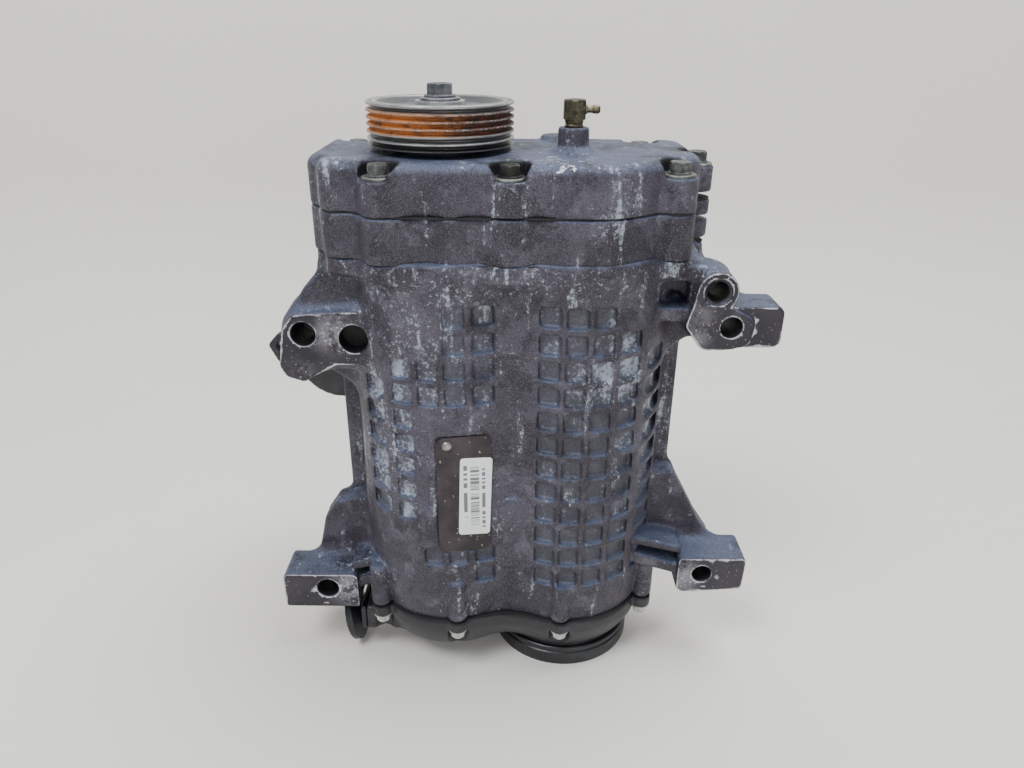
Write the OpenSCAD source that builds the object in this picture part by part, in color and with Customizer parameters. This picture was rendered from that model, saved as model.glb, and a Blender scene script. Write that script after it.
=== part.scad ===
// Twin-screw supercharger, standing on its inlet collar with the drive pulley up.
// Origin: the female rotor's axis at the lower end of the inlet collar. +Z runs up
// both rotor axes, +X to the right and -Y out of the mounting faces. Millimetres.

/* [Rotors] */
// Distance between the two rotor axes
rotor_gap = 76; // [75.6:0.2:76.4]
// Lowest end of the rotor bodies
rotor_low = 84.5; // [84.5:0.5:90]
// Length of the rotor bodies
rotor_length = 192; // [180:1:192.5]
// Twist of the male rotor over its length, in degrees
male_twist = 300; // [240:10:300]
// Radius of the rotor bores in the housing
bore_r = 48; // [47.9:0.1:48.5]

/* [Casing heights] */
// Underside of the inlet cover
cover_foot = 18; // [17:0.5:19]
// Joint between inlet cover and rotor housing
inlet_joint = 43.5; // [43:0.5:44]
// Joint between rotor housing and gear case
case_joint = 278; // [278:0.5:280]
// Joint between gear case and top cover
lid_joint = 303; // [302.5:0.5:303.5]
// Top face of the top cover
lid_top = 330; // [329:0.5:330]
// Thickness of the gaskets
gasket = 0.8; // [0.4:0.1:1]

/* [Drive] */
// Outside diameter of the belt pulley
pulley_d = 80; // [78:0.5:84]
// Number of belt ribs
ribs = 6; // [4:1:6]
// Lowest edge of the belt pulley
pulley_low = 332.8; // [332:0.2:333.4]

/* [Waffle pockets] */
// Side of one square pocket
pocket_side = 11.8; // [9:0.2:12]
// Depth of a pocket
pocket_deep = 3.5; // [2:0.5:4]
// Vertical pitch of the pocket rows
pocket_pitch = 15.6; // [15:0.1:15.8]

/* [Hidden] */
$fn = 64;

mid_x = -rotor_gap / 2;          // the plane half way between the rotors
half = rotor_gap / 2;
cut = 1;                         // how far a cutting tool runs past a face

// Rotor profile: circular lobes and flutes centred on the pitch circles
male_lobes = 3;
female_lobes = 5;
male_pitch_r = rotor_gap * male_lobes / (male_lobes + female_lobes);
female_pitch_r = rotor_gap - male_pitch_r;
lobe_r = 19;
flute_r = lobe_r + 0.4;
tip_relief = 0.5;
rotor_slices = 32;
shaft_r = 8.5;
rotor_seat_r = 11;

// Timing gears
gear_module = rotor_gap / 40;
male_teeth = 30;
female_teeth = 50;
gear_low = 294;
gear_thick = 9;
backlash = 0.12;

// Bearings: one size throughout
ring_out_r = 20;
ring_in_r = 16.4;
inner_out_r = 12.1;
ball_r = 2.9;
ball_path_r = 14.25;
race_gap = 0.15;
bearing_wide = 10;
ball_count = 8;
lower_bearing_z = 64;
top_bearing_z = 281;
input_bearing_z = 332;

// Housing and covers
lobe_out_r = 55.5;
wall_floor = 62;                 // underside of the lower bearing wall
wall_top = 84;
case_floor_top = 291;
lid_roof = 320;
nose_top = 348;
nose_r = 26;
rear_y = 50;
bolt_seat = 321;
bolt_end = 269;
flange_low = 267;
shank_r = 3;
cover_bolt_at = [[-66, -45.5], [0, -45.5], [88, -31], [-92, 44], [78, 44], [-10, 44], [105, 8]];
inlet_bolt_at = [[-32, -52], [34, -52], [-83, -37], [90, -26], [-70, 42], [70, 42]];
dowel_at = [[-98, 14], [92, 24]];

// Mounting ears, in the casing frame
ear_face = -37.5;
ear_deep = 27;
low_left_hole = [-118, 55, 7];
low_right_hole = [126, 69, 6.1];
high_left_hole = [-115.6, 233.8, 7];
blind_hole = [-87.2, 231, 8.3];
blind_deep = 9.5;
high_right_holes = [[114.5, 260, 5.7], [124, 239.7, 6.1]];

// Ducts
collar_r = 47;
collar_bore_r = 38;
pipe_r = 18.5;
pipe_wall = 3;
pipe_tilt = 12;
pipe_end = [-108, -18, 18.4];    // centre of the bypass mouth
pipe_rim = 4.5;
pipe_cone = 5;
pipe_seat_x = -95;               // pad on the inlet cover that the pipe's flange sits on
pipe_pad = [[pipe_end[1] - 17, pipe_end[1] + 17], [18.5, 37]];
pipe_port = [[pipe_end[1] - 9, pipe_end[1] + 9], [22.3, 31]];
duct_c = [-116, 184];            // X and Z of the discharge collar
duct_r = 32;
duct_bore_r = 28;
duct_lug = [-156.5, 190];        // X and Z of the hole in the collar's side lug
duct_wall = 5;
duct_collar_y = 50.8;            // front face of the collar, beside the housing
duct_seat = 56;                  // machined pad round the discharge port
duct_front = duct_seat + gasket;
duct_flange = [[-48, 48], [201, 266.5]];
duct_flange_thick = 7;
duct_mouth = 95;
duct_bolt_at = [[-40, 207.4], [40, 207.4], [-40, 260.4], [40, 260.4]];
port = [[-26, 26], [219, 249]];  // X and Z of the discharge port
port_bolt_low = 49.5;            // blind end of the port's tapped holes

// Oil system
plug_z = 294.5;
plug_seat = 54.6;
breather_at = [34, -7.5];

// Belt pulley
rib_pitch = 3.56;
rib_deep = 2.5;
pulley_r = pulley_d / 2;
pulley_top = pulley_low + ribs * rib_pitch + 1;
hub_top = 355;
web_low = 349;

casing_grey = "#5f5e68";
black_cast = "#1d1e22";
steel_grey = "#9a9a9c";
dark_steel = "#6b6a66";
rotor_grey = "#b9bcc0";
gasket_grey = "#3b3b3d";

// ---------- shared shapes ----------
module casing() translate([mid_x, 0, 0]) children();
module male_axis() translate([-rotor_gap, 0, 0]) children();
module tube(r_out, r_in, z, h) translate([0, 0, z]) difference() {
    cylinder(r = r_out, h = h);
    translate([0, 0, -cut]) cylinder(r = r_in, h = h + 2 * cut);
}
module rod(r, z, h) translate([0, 0, z]) cylinder(r = r, h = h);
module hex(across, z, h) translate([0, 0, z]) cylinder(d = across / cos(30), h = h, $fn = 6);
// A hole or rod along Y, from y to y + h
module along_y(x, z, r, y, h) translate([x, y, z]) rotate([-90, 0, 0]) cylinder(r = r, h = h);
module box(x, y, z) translate([x[0], y[0], z[0]]) cube([x[1] - x[0], y[1] - y[0], z[1] - z[0]]);
// A plate standing in the XZ plane between two depths
module standing(y, h) translate([0, y + h, 0]) rotate([90, 0, 0]) linear_extrude(h) children();
module both_axes() {
    children();
    male_axis() children();
}

// Outline shared by the gear case, the top cover and the housing's top flange
module case_outline(inset = 0) {
    offset(delta = -inset) offset(r = -5) offset(r = 5) difference() {
        union() {
            hull() {
                translate([-60, -39.5]) circle(15, $fn = 32);
                translate([47, -42]) circle(12.5, $fn = 32);
                translate([-95, -14]) circle(14, $fn = 32);
                translate([90, -6]) circle(14, $fn = 32);
                translate([-95, 39.5]) circle(14, $fn = 32);
                translate([90, 40.5]) circle(13, $fn = 32);
            }
            translate([half, 0]) circle(54.5);
            translate([-66, -45.5]) circle(10, $fn = 32);
            translate([88, -31]) circle(10.5, $fn = 32);
            translate([-90, -30]) circle(10.5, $fn = 32);
            translate([105, 8]) circle(9.5, $fn = 32);
        }
        translate([-1, -64.5]) circle(13, $fn = 32);
    }
}
module gear_room() {
    translate([half, 0]) circle(51);
    translate([-half, 0]) circle(36);
    translate([-half, -30]) square([rotor_gap, 60]);
}
module bolt_holes(places, r, z, h) for (p = places) translate([p[0], p[1], 0]) rod(r, z, h);

// Outline of the rotor housing's front: two lobes with the valley between them filled
module lobes(r) {
    translate([half, 0]) circle(r);
    translate([-half, 0]) circle(r);
    polygon([[-22, 0], [-22, -r + 2.5], [-6, -r + 6], [10, -r + 6], [22, -r + 2.5], [22, 0]]);
}
module rear_half(x) polygon([[-x, -3], [x, -3], [x, rear_y - 12], [x - 12, rear_y],
                             [-x + 12, rear_y], [-x, rear_y - 12]]);

// ---------- casings ----------
pocket_top = 250;
right_columns = [[22.5, 0], [37, 0], [52, 0], [67.5, 1], [84.5, 2]];
left_columns = [[-14, 0, 3], [-30, 0, 3], [-45, 2, 3], [-60, 2, 8], [-77, 3, 8],
                [-14, 10, 11], [-30, 10, 10], [-45, 10, 10]];
module pocket(x, row) {
    side = pocket_side / 2;
    round = 3;
    translate([x, 0, pocket_top - row * pocket_pitch]) standing(-70, 50)
        polygon([[-side, -side + round], [-side + round, -side], [side - round, -side],
                 [side, -side + round], [side, side - round], [side - round, side],
                 [-side + round, side], [-side, side - round]]);
}
module waffle() difference() {
    union() {
        for (c = right_columns) for (row = [c[1]:11]) pocket(c[0], row);
        for (c = left_columns) for (row = [c[1]:c[2]]) pocket(c[0], row);
    }
    linear_extrude(300) lobes(lobe_out_r - pocket_deep);
}
// Face block, web plate and ribs of each mounting ear
module low_left_ear() {
    box([-147, -98], [ear_face, ear_face + ear_deep], [38.5, 66]);
    standing(-14, 18) polygon([[-90, 112], [-112, 108], [-122, 92], [-128, 66], [-128, 46], [-90, 46]]);
    box([-98, -62], [-34, -16], [57, 62]);
    box([-98, -62], [-34, -16], [46, 51]);
}
module low_right_ear() {
    box([109.7, 154], [ear_face, ear_face + ear_deep], [54.6, 81.3]);
    standing(-14, 18) polygon([[90, 132], [106, 132], [126, 96], [136, 81], [136, 58], [90, 58]]);
    box([64, 109.7], [-34, -16], [74, 79]);
    box([64, 109.7], [-34, -16], [63, 68]);
}
module high_left_ear() {
    standing(ear_face, ear_deep) polygon([[-128.4, 209], [-124, 205.4], [-111, 205.4], [-104, 212],
        [-97, 216], [-80, 216], [-73, 222], [-72.8, 243], [-77, 247], [-122, 247], [-128.4, 240]]);
    standing(-14, 18) polygon([[-90, 277.6], [-103, 277.6], [-110, 262], [-126, 240], [-126, 214], [-90, 190]]);
    box([-90, -46], [-34, -10], [243, 248]);
    box([-90, -52], [-34, -10], [222, 226]);
}
module high_right_ear() {
    standing(ear_face, ear_deep) polygon([[105.5, 225.3], [152, 227], [154, 232], [154, 246], [148, 252],
        [134, 252], [127, 264], [118, 271], [109, 270.5], [103.5, 262], [98.6, 233]]);
    standing(-14, 18) polygon([[90, 277.6], [104, 277.6], [124, 266], [134, 248], [134, 230], [106, 226], [90, 214]]);
    box([70, 108], [-34, -10], [262, 268]);
    box([70, 103], [-34, -10], [236, 241]);
}
plate_turn = 9;
// The plate's own frame: flat recess in the front of the male lobe
module plate_frame() translate([-26, -51.7, 0]) rotate([0, 0, plate_turn]) children();
module inlet_windows() difference() {
    linear_extrude(wall_top - wall_floor + 2 * cut) {
        translate([half, 0]) circle(bore_r - 2);
        translate([-half, 0]) circle(bore_r - 2);
    }
    for (x = [-half, half]) translate([x, 0, 0]) {
        cylinder(r = 28, h = 40);
        translate([-6, -60, 0]) cube([12, 120, 40]);
    }
    translate([-100, -6, 0]) cube([200, 12, 40]);
}
module rotor_housing() color(casing_grey) casing() difference() {
    union() {
        translate([0, 0, inlet_joint + gasket / 2])
            linear_extrude(case_joint - inlet_joint - gasket) lobes(lobe_out_r);
        translate([0, 0, 74]) linear_extrude(case_joint - gasket / 2 - 74) rear_half(104);
        translate([0, 0, inlet_joint + gasket / 2]) linear_extrude(31) rear_half(94);
        translate([0, 0, flange_low])
            linear_extrude(case_joint - gasket / 2 - flange_low) case_outline(1);
        for (p = inlet_bolt_at) translate([p[0], p[1], 0]) rod(6.5, inlet_joint + gasket / 2, 32);
        along_y(-43, 123, 9, -56, 20);
        along_y(3, 125, 9, -50.5, 20);
        box(duct_flange[0], [30, duct_seat], duct_flange[1]);
        low_left_ear();
        low_right_ear();
        high_left_ear();
        high_right_ear();
    }
    waffle();
    for (x = [-half, half]) translate([x, 0, 0]) {
        rod(bore_r, wall_top, 200);
        rod(12.5, wall_floor - cut, 30);
        rod(ring_out_r, wall_floor - cut, lower_bearing_z + bearing_wide - wall_floor + cut);
        rod(bore_r - 1, inlet_joint - cut, wall_floor - inlet_joint + cut);
        for (turn = [45:90:315]) rotate([0, 0, turn]) translate([24, 0, 0]) rod(1.6, wall_floor - cut, 9);
    }
    translate([0, 0, wall_floor - cut]) inlet_windows();
    plate_frame() box([-17, 17], [-12, 0], [96.5, 179]);
    box(port[0], [20, duct_seat + cut], port[1]);
    for (p = duct_bolt_at) along_y(p[0], p[1], shank_r + 0.05, port_bolt_low, 10);
    bolt_holes(cover_bolt_at, shank_r + 0.05, bolt_end - 0.5, 30);
    bolt_holes(dowel_at, 2.55, 272, 10);
    bolt_holes(inlet_bolt_at, shank_r + 0.05, 40, 24);
    for (h = concat([low_left_hole, low_right_hole, high_left_hole], high_right_holes))
        along_y(h[0], h[1], h[2], ear_face - cut, 60);
    along_y(blind_hole[0], blind_hole[1], blind_hole[2], ear_face - cut, blind_deep + cut);
    along_y(high_right_holes[0][0], high_right_holes[0][1], 7.6, ear_face - cut, cut + 1.5);
}
module gear_case() color(casing_grey) casing() difference() {
    union() {
        translate([0, 0, case_joint + gasket / 2])
            linear_extrude(lid_joint - case_joint - gasket) case_outline();
        along_y(half, plug_z, 8, 45, plug_seat - 45);
    }
    translate([0, 0, case_floor_top]) linear_extrude(20) gear_room();
    for (x = [-half, half]) translate([x, 0, 0]) {
        rod(12.5, 270, 20);
        rod(ring_out_r, top_bearing_z, 20);
        for (turn = [45:90:315]) rotate([0, 0, turn]) translate([23, 0, 0]) rod(1.6, 284, 8);
    }
    bolt_holes(cover_bolt_at, shank_r + 0.3, 270, 40);
    bolt_holes(dowel_at, 2.55, 270, 40);
    along_y(half, plug_z, 5.05, 40, 20);
}
module top_cover() color(casing_grey) casing() difference() {
    union() {
        translate([0, 0, lid_joint + gasket / 2])
            linear_extrude(lid_top - 6 - lid_joint - gasket / 2) case_outline();
        translate([0, 0, lid_top - 7]) linear_extrude(4) case_outline(1.6);
        translate([0, 0, lid_top - 4]) linear_extrude(4) case_outline(4.5);
        translate([-half, 0, 0]) rod(nose_r, 320, nose_top - 320);
        translate(breather_at) {
            rod(8.4, 328, 14.5);
            rod(11, 328, 4);
        }
        translate([27, 42, 0]) rod(9, 326, 6.5);
    }
    translate([0, 0, 296]) linear_extrude(lid_roof - 296) gear_room();
    translate([-half, 0, 0]) {
        rod(10.5, 310, 30);
        rod(ring_out_r, input_bearing_z, 20);
    }
    for (p = cover_bolt_at) translate([p[0], p[1], 0]) rod(11, bolt_seat, 20);
    bolt_holes(cover_bolt_at, shank_r + 0.3, 300, 40);
    bolt_holes(dowel_at, 2.55, 295, 13.5);
    translate(breather_at) rod(4.05, 310, 40);
}
module inlet_cover() color(black_cast) casing() difference() {
    union() {
        translate([0, 0, 36]) linear_extrude(inlet_joint - gasket / 2 - 36) {
            lobes(lobe_out_r);
            rear_half(94);
            for (p = inlet_bolt_at) translate(p) circle(6.5);
        }
        translate([0, 0, 27]) linear_extrude(10) {
            lobes(lobe_out_r - 3);
            translate([-88, 0]) square([176, rear_y - 4]);
        }
        translate([0, 0, cover_foot]) linear_extrude(10) {
            lobes(lobe_out_r - 7);
            translate([-80, 0]) square([160, rear_y - 9]);
        }
        box([pipe_seat_x, -80], pipe_pad[0], pipe_pad[1]);
    }
    translate([0, 0, cover_foot + 4]) linear_extrude(40) {
        translate([half, 0]) circle(44);
        translate([-half, 0]) circle(44);
    }
    translate([half, 0, 0]) rod(41, 10, 40);
    box([pipe_seat_x - cut, -60], [pipe_port[0][0] - 0.2, pipe_port[0][1] + 0.2],
        [pipe_port[1][0] - 0.2, pipe_port[1][1] + 0.2]);
    bolt_holes(inlet_bolt_at, shank_r + 0.3, 30, 20);
    for (p = inlet_bolt_at) translate([p[0], p[1], 0]) rod(6.6, 10, 26);
}
module inlet_collar() color(black_cast) rotate_extrude()
    polygon([[collar_bore_r, 0], [collar_r, 0], [collar_r, 9], [collar_r - 1.2, 9.6],
             [collar_r - 1.2, 11], [collar_r, 11.6], [collar_r, 13.6], [collar_r - 1, 14.3],
             [44, 14.3], [44, cover_foot], [40.9, cover_foot], [40.9, 24], [collar_bore_r, 24]]);
// The pipe's mouth frame: its local Z points out of the mouth
module pipe_frame() translate(pipe_end) rotate([0, -90 - pipe_tilt, 0]) children();
module bypass_pipe() color(black_cast) casing() difference() {
    union() {
        pipe_frame() {
            translate([0, 0, -pipe_rim]) cylinder(r = pipe_r, h = pipe_rim);
            translate([0, 0, -pipe_rim - pipe_cone]) cylinder(r1 = 10, r2 = pipe_r, h = pipe_cone);
        }
        box([pipe_seat_x - 3.5, pipe_seat_x], pipe_pad[0], pipe_pad[1]);
        box([pipe_seat_x - 1, -70], pipe_port[0], pipe_port[1]);
    }
    pipe_frame() {
        translate([0, 0, 0.5 - pipe_rim]) cylinder(r = pipe_r - pipe_wall, h = pipe_rim + cut);
        translate([0, 0, 0.5 - pipe_rim - pipe_cone])
            cylinder(r1 = 8.5, r2 = pipe_r - pipe_wall, h = pipe_cone);
    }
    box([-102, -60], [pipe_end[1] - 6, pipe_end[1] + 6], [24.5, 28.5]);
    translate([-half, 0, 0]) cylinder(r = 44, h = 60);
}
module discharge_duct() color(black_cast) casing() difference() {
    union() {
        box(duct_flange[0], [duct_front, duct_front + duct_flange_thick], duct_flange[1]);
        box([-112, 32], [duct_front, 88], [port[1][0] - duct_wall, port[1][1] + duct_wall]);
        box([-112, -84], [duct_front, 88], [duct_c[1], port[1][1]]);
        along_y(duct_c[0], duct_c[1], duct_r, duct_collar_y, duct_mouth - duct_collar_y);
        translate([0, duct_collar_y + 8, 0]) rotate([90, 0, 0]) linear_extrude(8)
            polygon([[-140, 205], [-158.9, 198.8], [-166, 191.4], [-160.8, 178], [-140, 166]]);
    }
    box([-107, 27], [duct_front + 6, 82], port[1]);
    box([-107, -89], [duct_front + 6, 82], [duct_c[1], port[1][1] - 1]);
    box(port[0], [duct_front - cut, 66], port[1]);
    along_y(duct_c[0], duct_c[1], duct_bore_r, duct_collar_y + duct_wall, 60);
    for (p = duct_bolt_at) {
        along_y(p[0], p[1], shank_r + 0.3, duct_front - cut, 20);
        along_y(p[0], p[1], 6.5, duct_front + duct_flange_thick, 60);
    }
    along_y(duct_lug[0], duct_lug[1], shank_r + 0.3, duct_collar_y - cut, 20);
}

// ---------- gaskets, plugs and fasteners ----------
module cover_gasket() color(gasket_grey) casing()
    translate([0, 0, lid_joint - gasket / 2]) linear_extrude(gasket) difference() {
        case_outline(0.5);
        gear_room();
        for (p = cover_bolt_at) translate(p) circle(shank_r + 0.3);
        for (p = dowel_at) translate(p) circle(2.6);
    }
module case_gasket() color(gasket_grey) casing()
    translate([0, 0, case_joint - gasket / 2]) linear_extrude(gasket) difference() {
        case_outline(1.4);
        for (x = [-half, half]) translate([x, 0]) circle(bore_r + 0.5);
        for (p = cover_bolt_at) translate(p) circle(shank_r + 0.3);
        for (p = dowel_at) translate(p) circle(2.6);
    }
module inlet_gasket() color(gasket_grey) casing()
    translate([0, 0, inlet_joint - gasket / 2]) linear_extrude(gasket) difference() {
        union() {
            lobes(lobe_out_r - 0.4);
            rear_half(93.6);
            for (p = inlet_bolt_at) translate(p) circle(6.4);
        }
        for (x = [-half, half]) translate([x, 0]) circle(bore_r - 0.8);
        for (p = inlet_bolt_at) translate(p) circle(shank_r + 0.3);
    }
module discharge_gasket() color(gasket_grey) casing() difference() {
    box([duct_flange[0][0] + 0.5, duct_flange[0][1] - 0.5], [duct_seat, duct_front],
        [duct_flange[1][0] + 0.5, duct_flange[1][1] - 0.5]);
    box([port[0][0] - 0.5, port[0][1] + 0.5], [duct_seat - cut, duct_front + cut],
        [port[1][0] - 0.5, port[1][1] + 0.5]);
    for (p = duct_bolt_at) along_y(p[0], p[1], shank_r + 0.3, duct_seat - cut, 4);
}
module cover_bolts() color(dark_steel) casing()
    for (p = cover_bolt_at) translate([p[0], p[1], 0]) {
        hex(10, bolt_seat + 1.6, 6);
        rod(shank_r, bolt_end, bolt_seat + 2 - bolt_end);
    }
module cover_bolt_washers() color(steel_grey) casing()
    for (p = cover_bolt_at) translate([p[0], p[1], 0]) tube(8.8, shank_r + 0.2, bolt_seat, 1.6);
module inlet_cover_bolts() color(steel_grey) casing()
    for (p = inlet_bolt_at) translate([p[0], p[1], 0]) {
        rod(6, 34.4, 1.6);
        hex(8, 30, 4.6);
        rod(shank_r, 35, 28);
    }
module discharge_bolts() color(steel_grey) casing()
    for (p = duct_bolt_at) translate([p[0], duct_front + duct_flange_thick, p[1]]) rotate([-90, 0, 0]) {
        rod(6, 0, 1.5);
        hex(10, 1.5, 6);
        rod(shank_r, port_bolt_low + 0.5 - duct_front - duct_flange_thick, 15);
    }
module dowel_pins() color(steel_grey) casing() bolt_holes(dowel_at, 2.5, 273, 34);
module id_plate() color("#2c2629") casing() plate_frame() difference() {
    box([-16, 16], [-1, 0], [98, 177.6]);
    along_y(-9.5, 172, 1.6, -3, 6);
}
module plate_rivet() color(steel_grey) casing() plate_frame() {
    along_y(-9.5, 172, 1.5, -1.2, 1.2);
    translate([-9.5, -1, 172]) intersection() {
        translate([0, 1.6, 0]) sphere(3.4);
        translate([-5, -5, -5]) cube([10, 5, 10]);
    }
}
module label() color("#e9e9e6") casing() plate_frame() translate([6.5, -1.25, 136.5])
    rotate([0, 2, 0]) translate([-9.5, 0, -26.7]) cube([19, 0.25, 53.4]);
module breather_body() color("#7d7349") casing() translate(breather_at) {
    rod(4, 320, 24);
    rod(5, 342.5, 4);
    rotate([0, 0, 30]) hex(11.5, 346.5, 10);
}
module breather_barb() color("#8a7a4a") casing() translate([breather_at[0], breather_at[1], 351.5]) rotate([0, 90, 0])
    rotate_extrude() polygon([[0, 5.75], [2, 5.75], [2, 8], [1.4, 8.4], [1.4, 10], [2, 10.4],
                              [1.4, 12], [1.4, 13.6], [0, 13.6]]);
module oil_plug() color(steel_grey) casing() translate([half, 0, plug_z]) rotate([-90, 0, 0]) {
    rod(5, 50, plug_seat + 2 - 50);
    hex(12, plug_seat + 1.4, 5);
}
module oil_plug_washer() color("#a5612f") casing() translate([half, 0, plug_z]) rotate([-90, 0, 0])
    tube(7.9, 5.05, plug_seat, 1.4);

// ---------- bearings and seals ----------
module race(r_in, r_out) rotate_extrude() difference() {
    translate([r_in, 0]) square([r_out - r_in, bearing_wide]);
    translate([ball_path_r, bearing_wide / 2]) circle(ball_r + race_gap);
}
module outer_race(z) translate([0, 0, z]) race(ring_in_r, ring_out_r);
module inner_race(z) translate([0, 0, z]) race(shaft_r, inner_out_r);
module balls(z) for (i = [0:ball_count - 1]) rotate([0, 0, i * 360 / ball_count])
    translate([ball_path_r, 0, z + bearing_wide / 2]) sphere(ball_r);
module cage(z) translate([0, 0, z]) difference() {
    tube(14.9, 13.6, 1.2, bearing_wide - 2.4);
    for (i = [0:ball_count - 1]) rotate([0, 0, i * 360 / ball_count])
        translate([12, 0, bearing_wide / 2]) rotate([0, 90, 0]) cylinder(r = ball_r + 0.1, h = 5);
}
module input_bearing_outer() color(steel_grey) male_axis() outer_race(input_bearing_z);
module top_bearing_outers() color(steel_grey) both_axes() outer_race(top_bearing_z);
module lower_bearing_outers() color(steel_grey) both_axes() outer_race(lower_bearing_z);
module bearing_retainer() color(steel_grey) difference() {
    union() {
        both_axes() rod(26, case_floor_top, 1.6);
        translate([-rotor_gap, -12, case_floor_top]) cube([rotor_gap, 24, 1.6]);
    }
    both_axes() rod(17, case_floor_top - cut, 5);
    both_axes() for (turn = [45:90:315]) rotate([0, 0, turn])
        translate([23, 0, 0]) rod(1.7, case_floor_top - cut, 5);
}
module retainer_screws() color(dark_steel) both_axes() for (turn = [45:90:315]) rotate([0, 0, turn])
    translate([23, 0, 0]) {
        rod(1.5, 285, 8);
        rod(2.8, case_floor_top + 1.6, 0.9);
    }
module lower_bearing_caps() color(dark_steel) both_axes() difference() {
    union() {
        rod(27, 59.5, 2.5);
        rod(19.8, 60, 4);
    }
    rod(14, 61.5, 5);
    for (turn = [45:90:315]) rotate([0, 0, turn]) translate([24, 0, 0]) rod(1.7, 55, 10);
}
module cap_screws() color(dark_steel) both_axes() for (turn = [45:90:315]) rotate([0, 0, turn])
    translate([24, 0, 0]) {
        rod(1.5, 59, 9);
        rod(2.8, 58, 1.5);
    }
module input_seal() color("#242424") male_axis() tube(19.95, 12.1, 344.6, 3.2);
module rotor_seals() color("#242424") both_axes() {
    tube(12.4, 8.6, 75.5, 5);
    tube(12.4, 8.6, 278.6, 2.2);
}

// ---------- drive ----------
module pulley() color("#8b8780") male_axis() rotate_extrude($fn = 128)
    polygon(concat(
        [[33, pulley_low], [33, web_low], [12, web_low], [12, input_bearing_z + bearing_wide],
         [8.45, input_bearing_z + bearing_wide], [8.45, 353],
         [4.2, 353], [4.2, hub_top], [13.5, hub_top], [13.5, 352.4], [30, 352], [34.5, pulley_top],
         [pulley_r - 0.5, pulley_top], [pulley_r, pulley_top - 0.5]],
        [for (i = [ribs - 1:-1:0]) let (z = pulley_low + (i + 0.5) * rib_pitch)
            each [[pulley_r, z + 1.5], [pulley_r - rib_deep, z + 0.45],
                  [pulley_r - rib_deep, z - 0.45], [pulley_r, z - 1.5]]],
        [[pulley_r, pulley_low]]));
module pulley_washer() color(steel_grey) male_axis() tube(11, 4.1, hub_top, 1.6);
module pulley_bolt() color(dark_steel) male_axis() {
    hex(13, hub_top + 2.6, 6);
    rod(8.5, hub_top + 1.6, 1.4);
    rod(3.9, 334, hub_top + 2 - 334);
}
module input_shaft() color(steel_grey) male_axis() difference() {
    union() {
        rod(23, 311.5, 6);
        rod(8.4, 317, 36);
        rod(10, 317, 15);
    }
    rod(4, 332, 30);
    for (turn = [60:120:300]) rotate([0, 0, turn]) translate([17, 0, 0]) rod(5, 311, 8);
}
module coupling_bushes() color("#242424") male_axis() for (turn = [60:120:300]) rotate([0, 0, turn])
    translate([17, 0, 0]) tube(4.95, 3.05, 311.5, 6);
module coupling_pins() color(dark_steel) male_axis() for (turn = [60:120:300]) rotate([0, 0, turn])
    translate([17, 0, 0]) rod(3, 295, 22);
module male_profile() difference() {
    union() {
        circle(male_pitch_r, $fn = 24);
        for (i = [0:male_lobes - 1]) rotate(i * 360 / male_lobes)
            translate([male_pitch_r, 0]) circle(lobe_r, $fn = 28);
    }
    circle(rotor_seat_r + 0.2, $fn = 16);
}
module female_profile() difference() {
    circle(female_pitch_r - tip_relief, $fn = 50);
    for (i = [0:female_lobes - 1]) rotate(180 + i * 360 / female_lobes)
        translate([female_pitch_r, 0]) rotate(180) circle(flute_r, $fn = 26);
    circle(rotor_seat_r + 0.2, $fn = 16);
}
module male_rotor() color(rotor_grey) male_axis() translate([0, 0, rotor_low])
    linear_extrude(rotor_length, twist = -male_twist, slices = rotor_slices) male_profile();
module female_rotor() color(rotor_grey) translate([0, 0, rotor_low])
    linear_extrude(rotor_length, twist = male_twist * male_lobes / female_lobes, slices = rotor_slices)
        female_profile();
module rotor_shaft() {
    rod(shaft_r, 63.5, 245.5);
    rod(rotor_seat_r * cos(180 / 16), rotor_low, rotor_length);
}
module male_shaft() color(steel_grey) male_axis() rotor_shaft();
module female_shaft() color(steel_grey) rotor_shaft();

// Spur gear with involute flanks of straight chords, its first tooth along +X
function involute(a) = tan(a) * 180 / PI - a;
function half_tooth(r, pitch_r, base_r, teeth) =
    90 / teeth - backlash / pitch_r * 180 / PI + involute(20) - involute(acos(min(1, base_r / r)));
module spur_gear(teeth) {
    pitch_r = gear_module * teeth / 2;
    base_r = pitch_r * cos(20);
    root_r = pitch_r - 1.25 * gear_module;
    flank = [for (k = [0:3]) let (low = max(base_r, root_r)) low + (pitch_r + 0.95 * gear_module - low) * k / 3];
    polygon([for (i = [0:teeth - 1]) let (a = i * 360 / teeth) each concat(
        [let (w = half_tooth(flank[0], pitch_r, base_r, teeth)) root_r * [cos(a - w), sin(a - w)]],
        [for (r = flank) let (w = half_tooth(r, pitch_r, base_r, teeth)) r * [cos(a - w), sin(a - w)]],
        [for (k = [3:-1:0]) let (w = half_tooth(flank[k], pitch_r, base_r, teeth))
            flank[k] * [cos(a + w), sin(a + w)]],
        [let (w = half_tooth(flank[0], pitch_r, base_r, teeth)) root_r * [cos(a + w), sin(a + w)]])]);
}
module male_gear() color(steel_grey) male_axis() difference() {
    translate([0, 0, gear_low]) linear_extrude(gear_thick) spur_gear(male_teeth);
    rod(shaft_r, gear_low - cut, 20);
    for (turn = [60:120:300]) rotate([0, 0, turn]) translate([17, 0, 0]) rod(3, gear_low - cut, 20);
}
module female_gear() color(steel_grey) difference() {
    translate([0, 0, gear_low]) linear_extrude(gear_thick)
        rotate(180 + 180 / female_teeth) spur_gear(female_teeth);
    rod(shaft_r, gear_low - cut, 20);
    for (turn = [0:60:300]) rotate([0, 0, turn]) translate([30, 0, 0]) rod(7, gear_low - cut, 20);
}
module gear_nut() difference() {
    hex(22, gear_low + gear_thick, 5);
    rod(shaft_r, gear_low, 20);
}
module male_gear_nut() color(dark_steel) male_axis() gear_nut();
module female_gear_nut() color(dark_steel) gear_nut();
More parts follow.
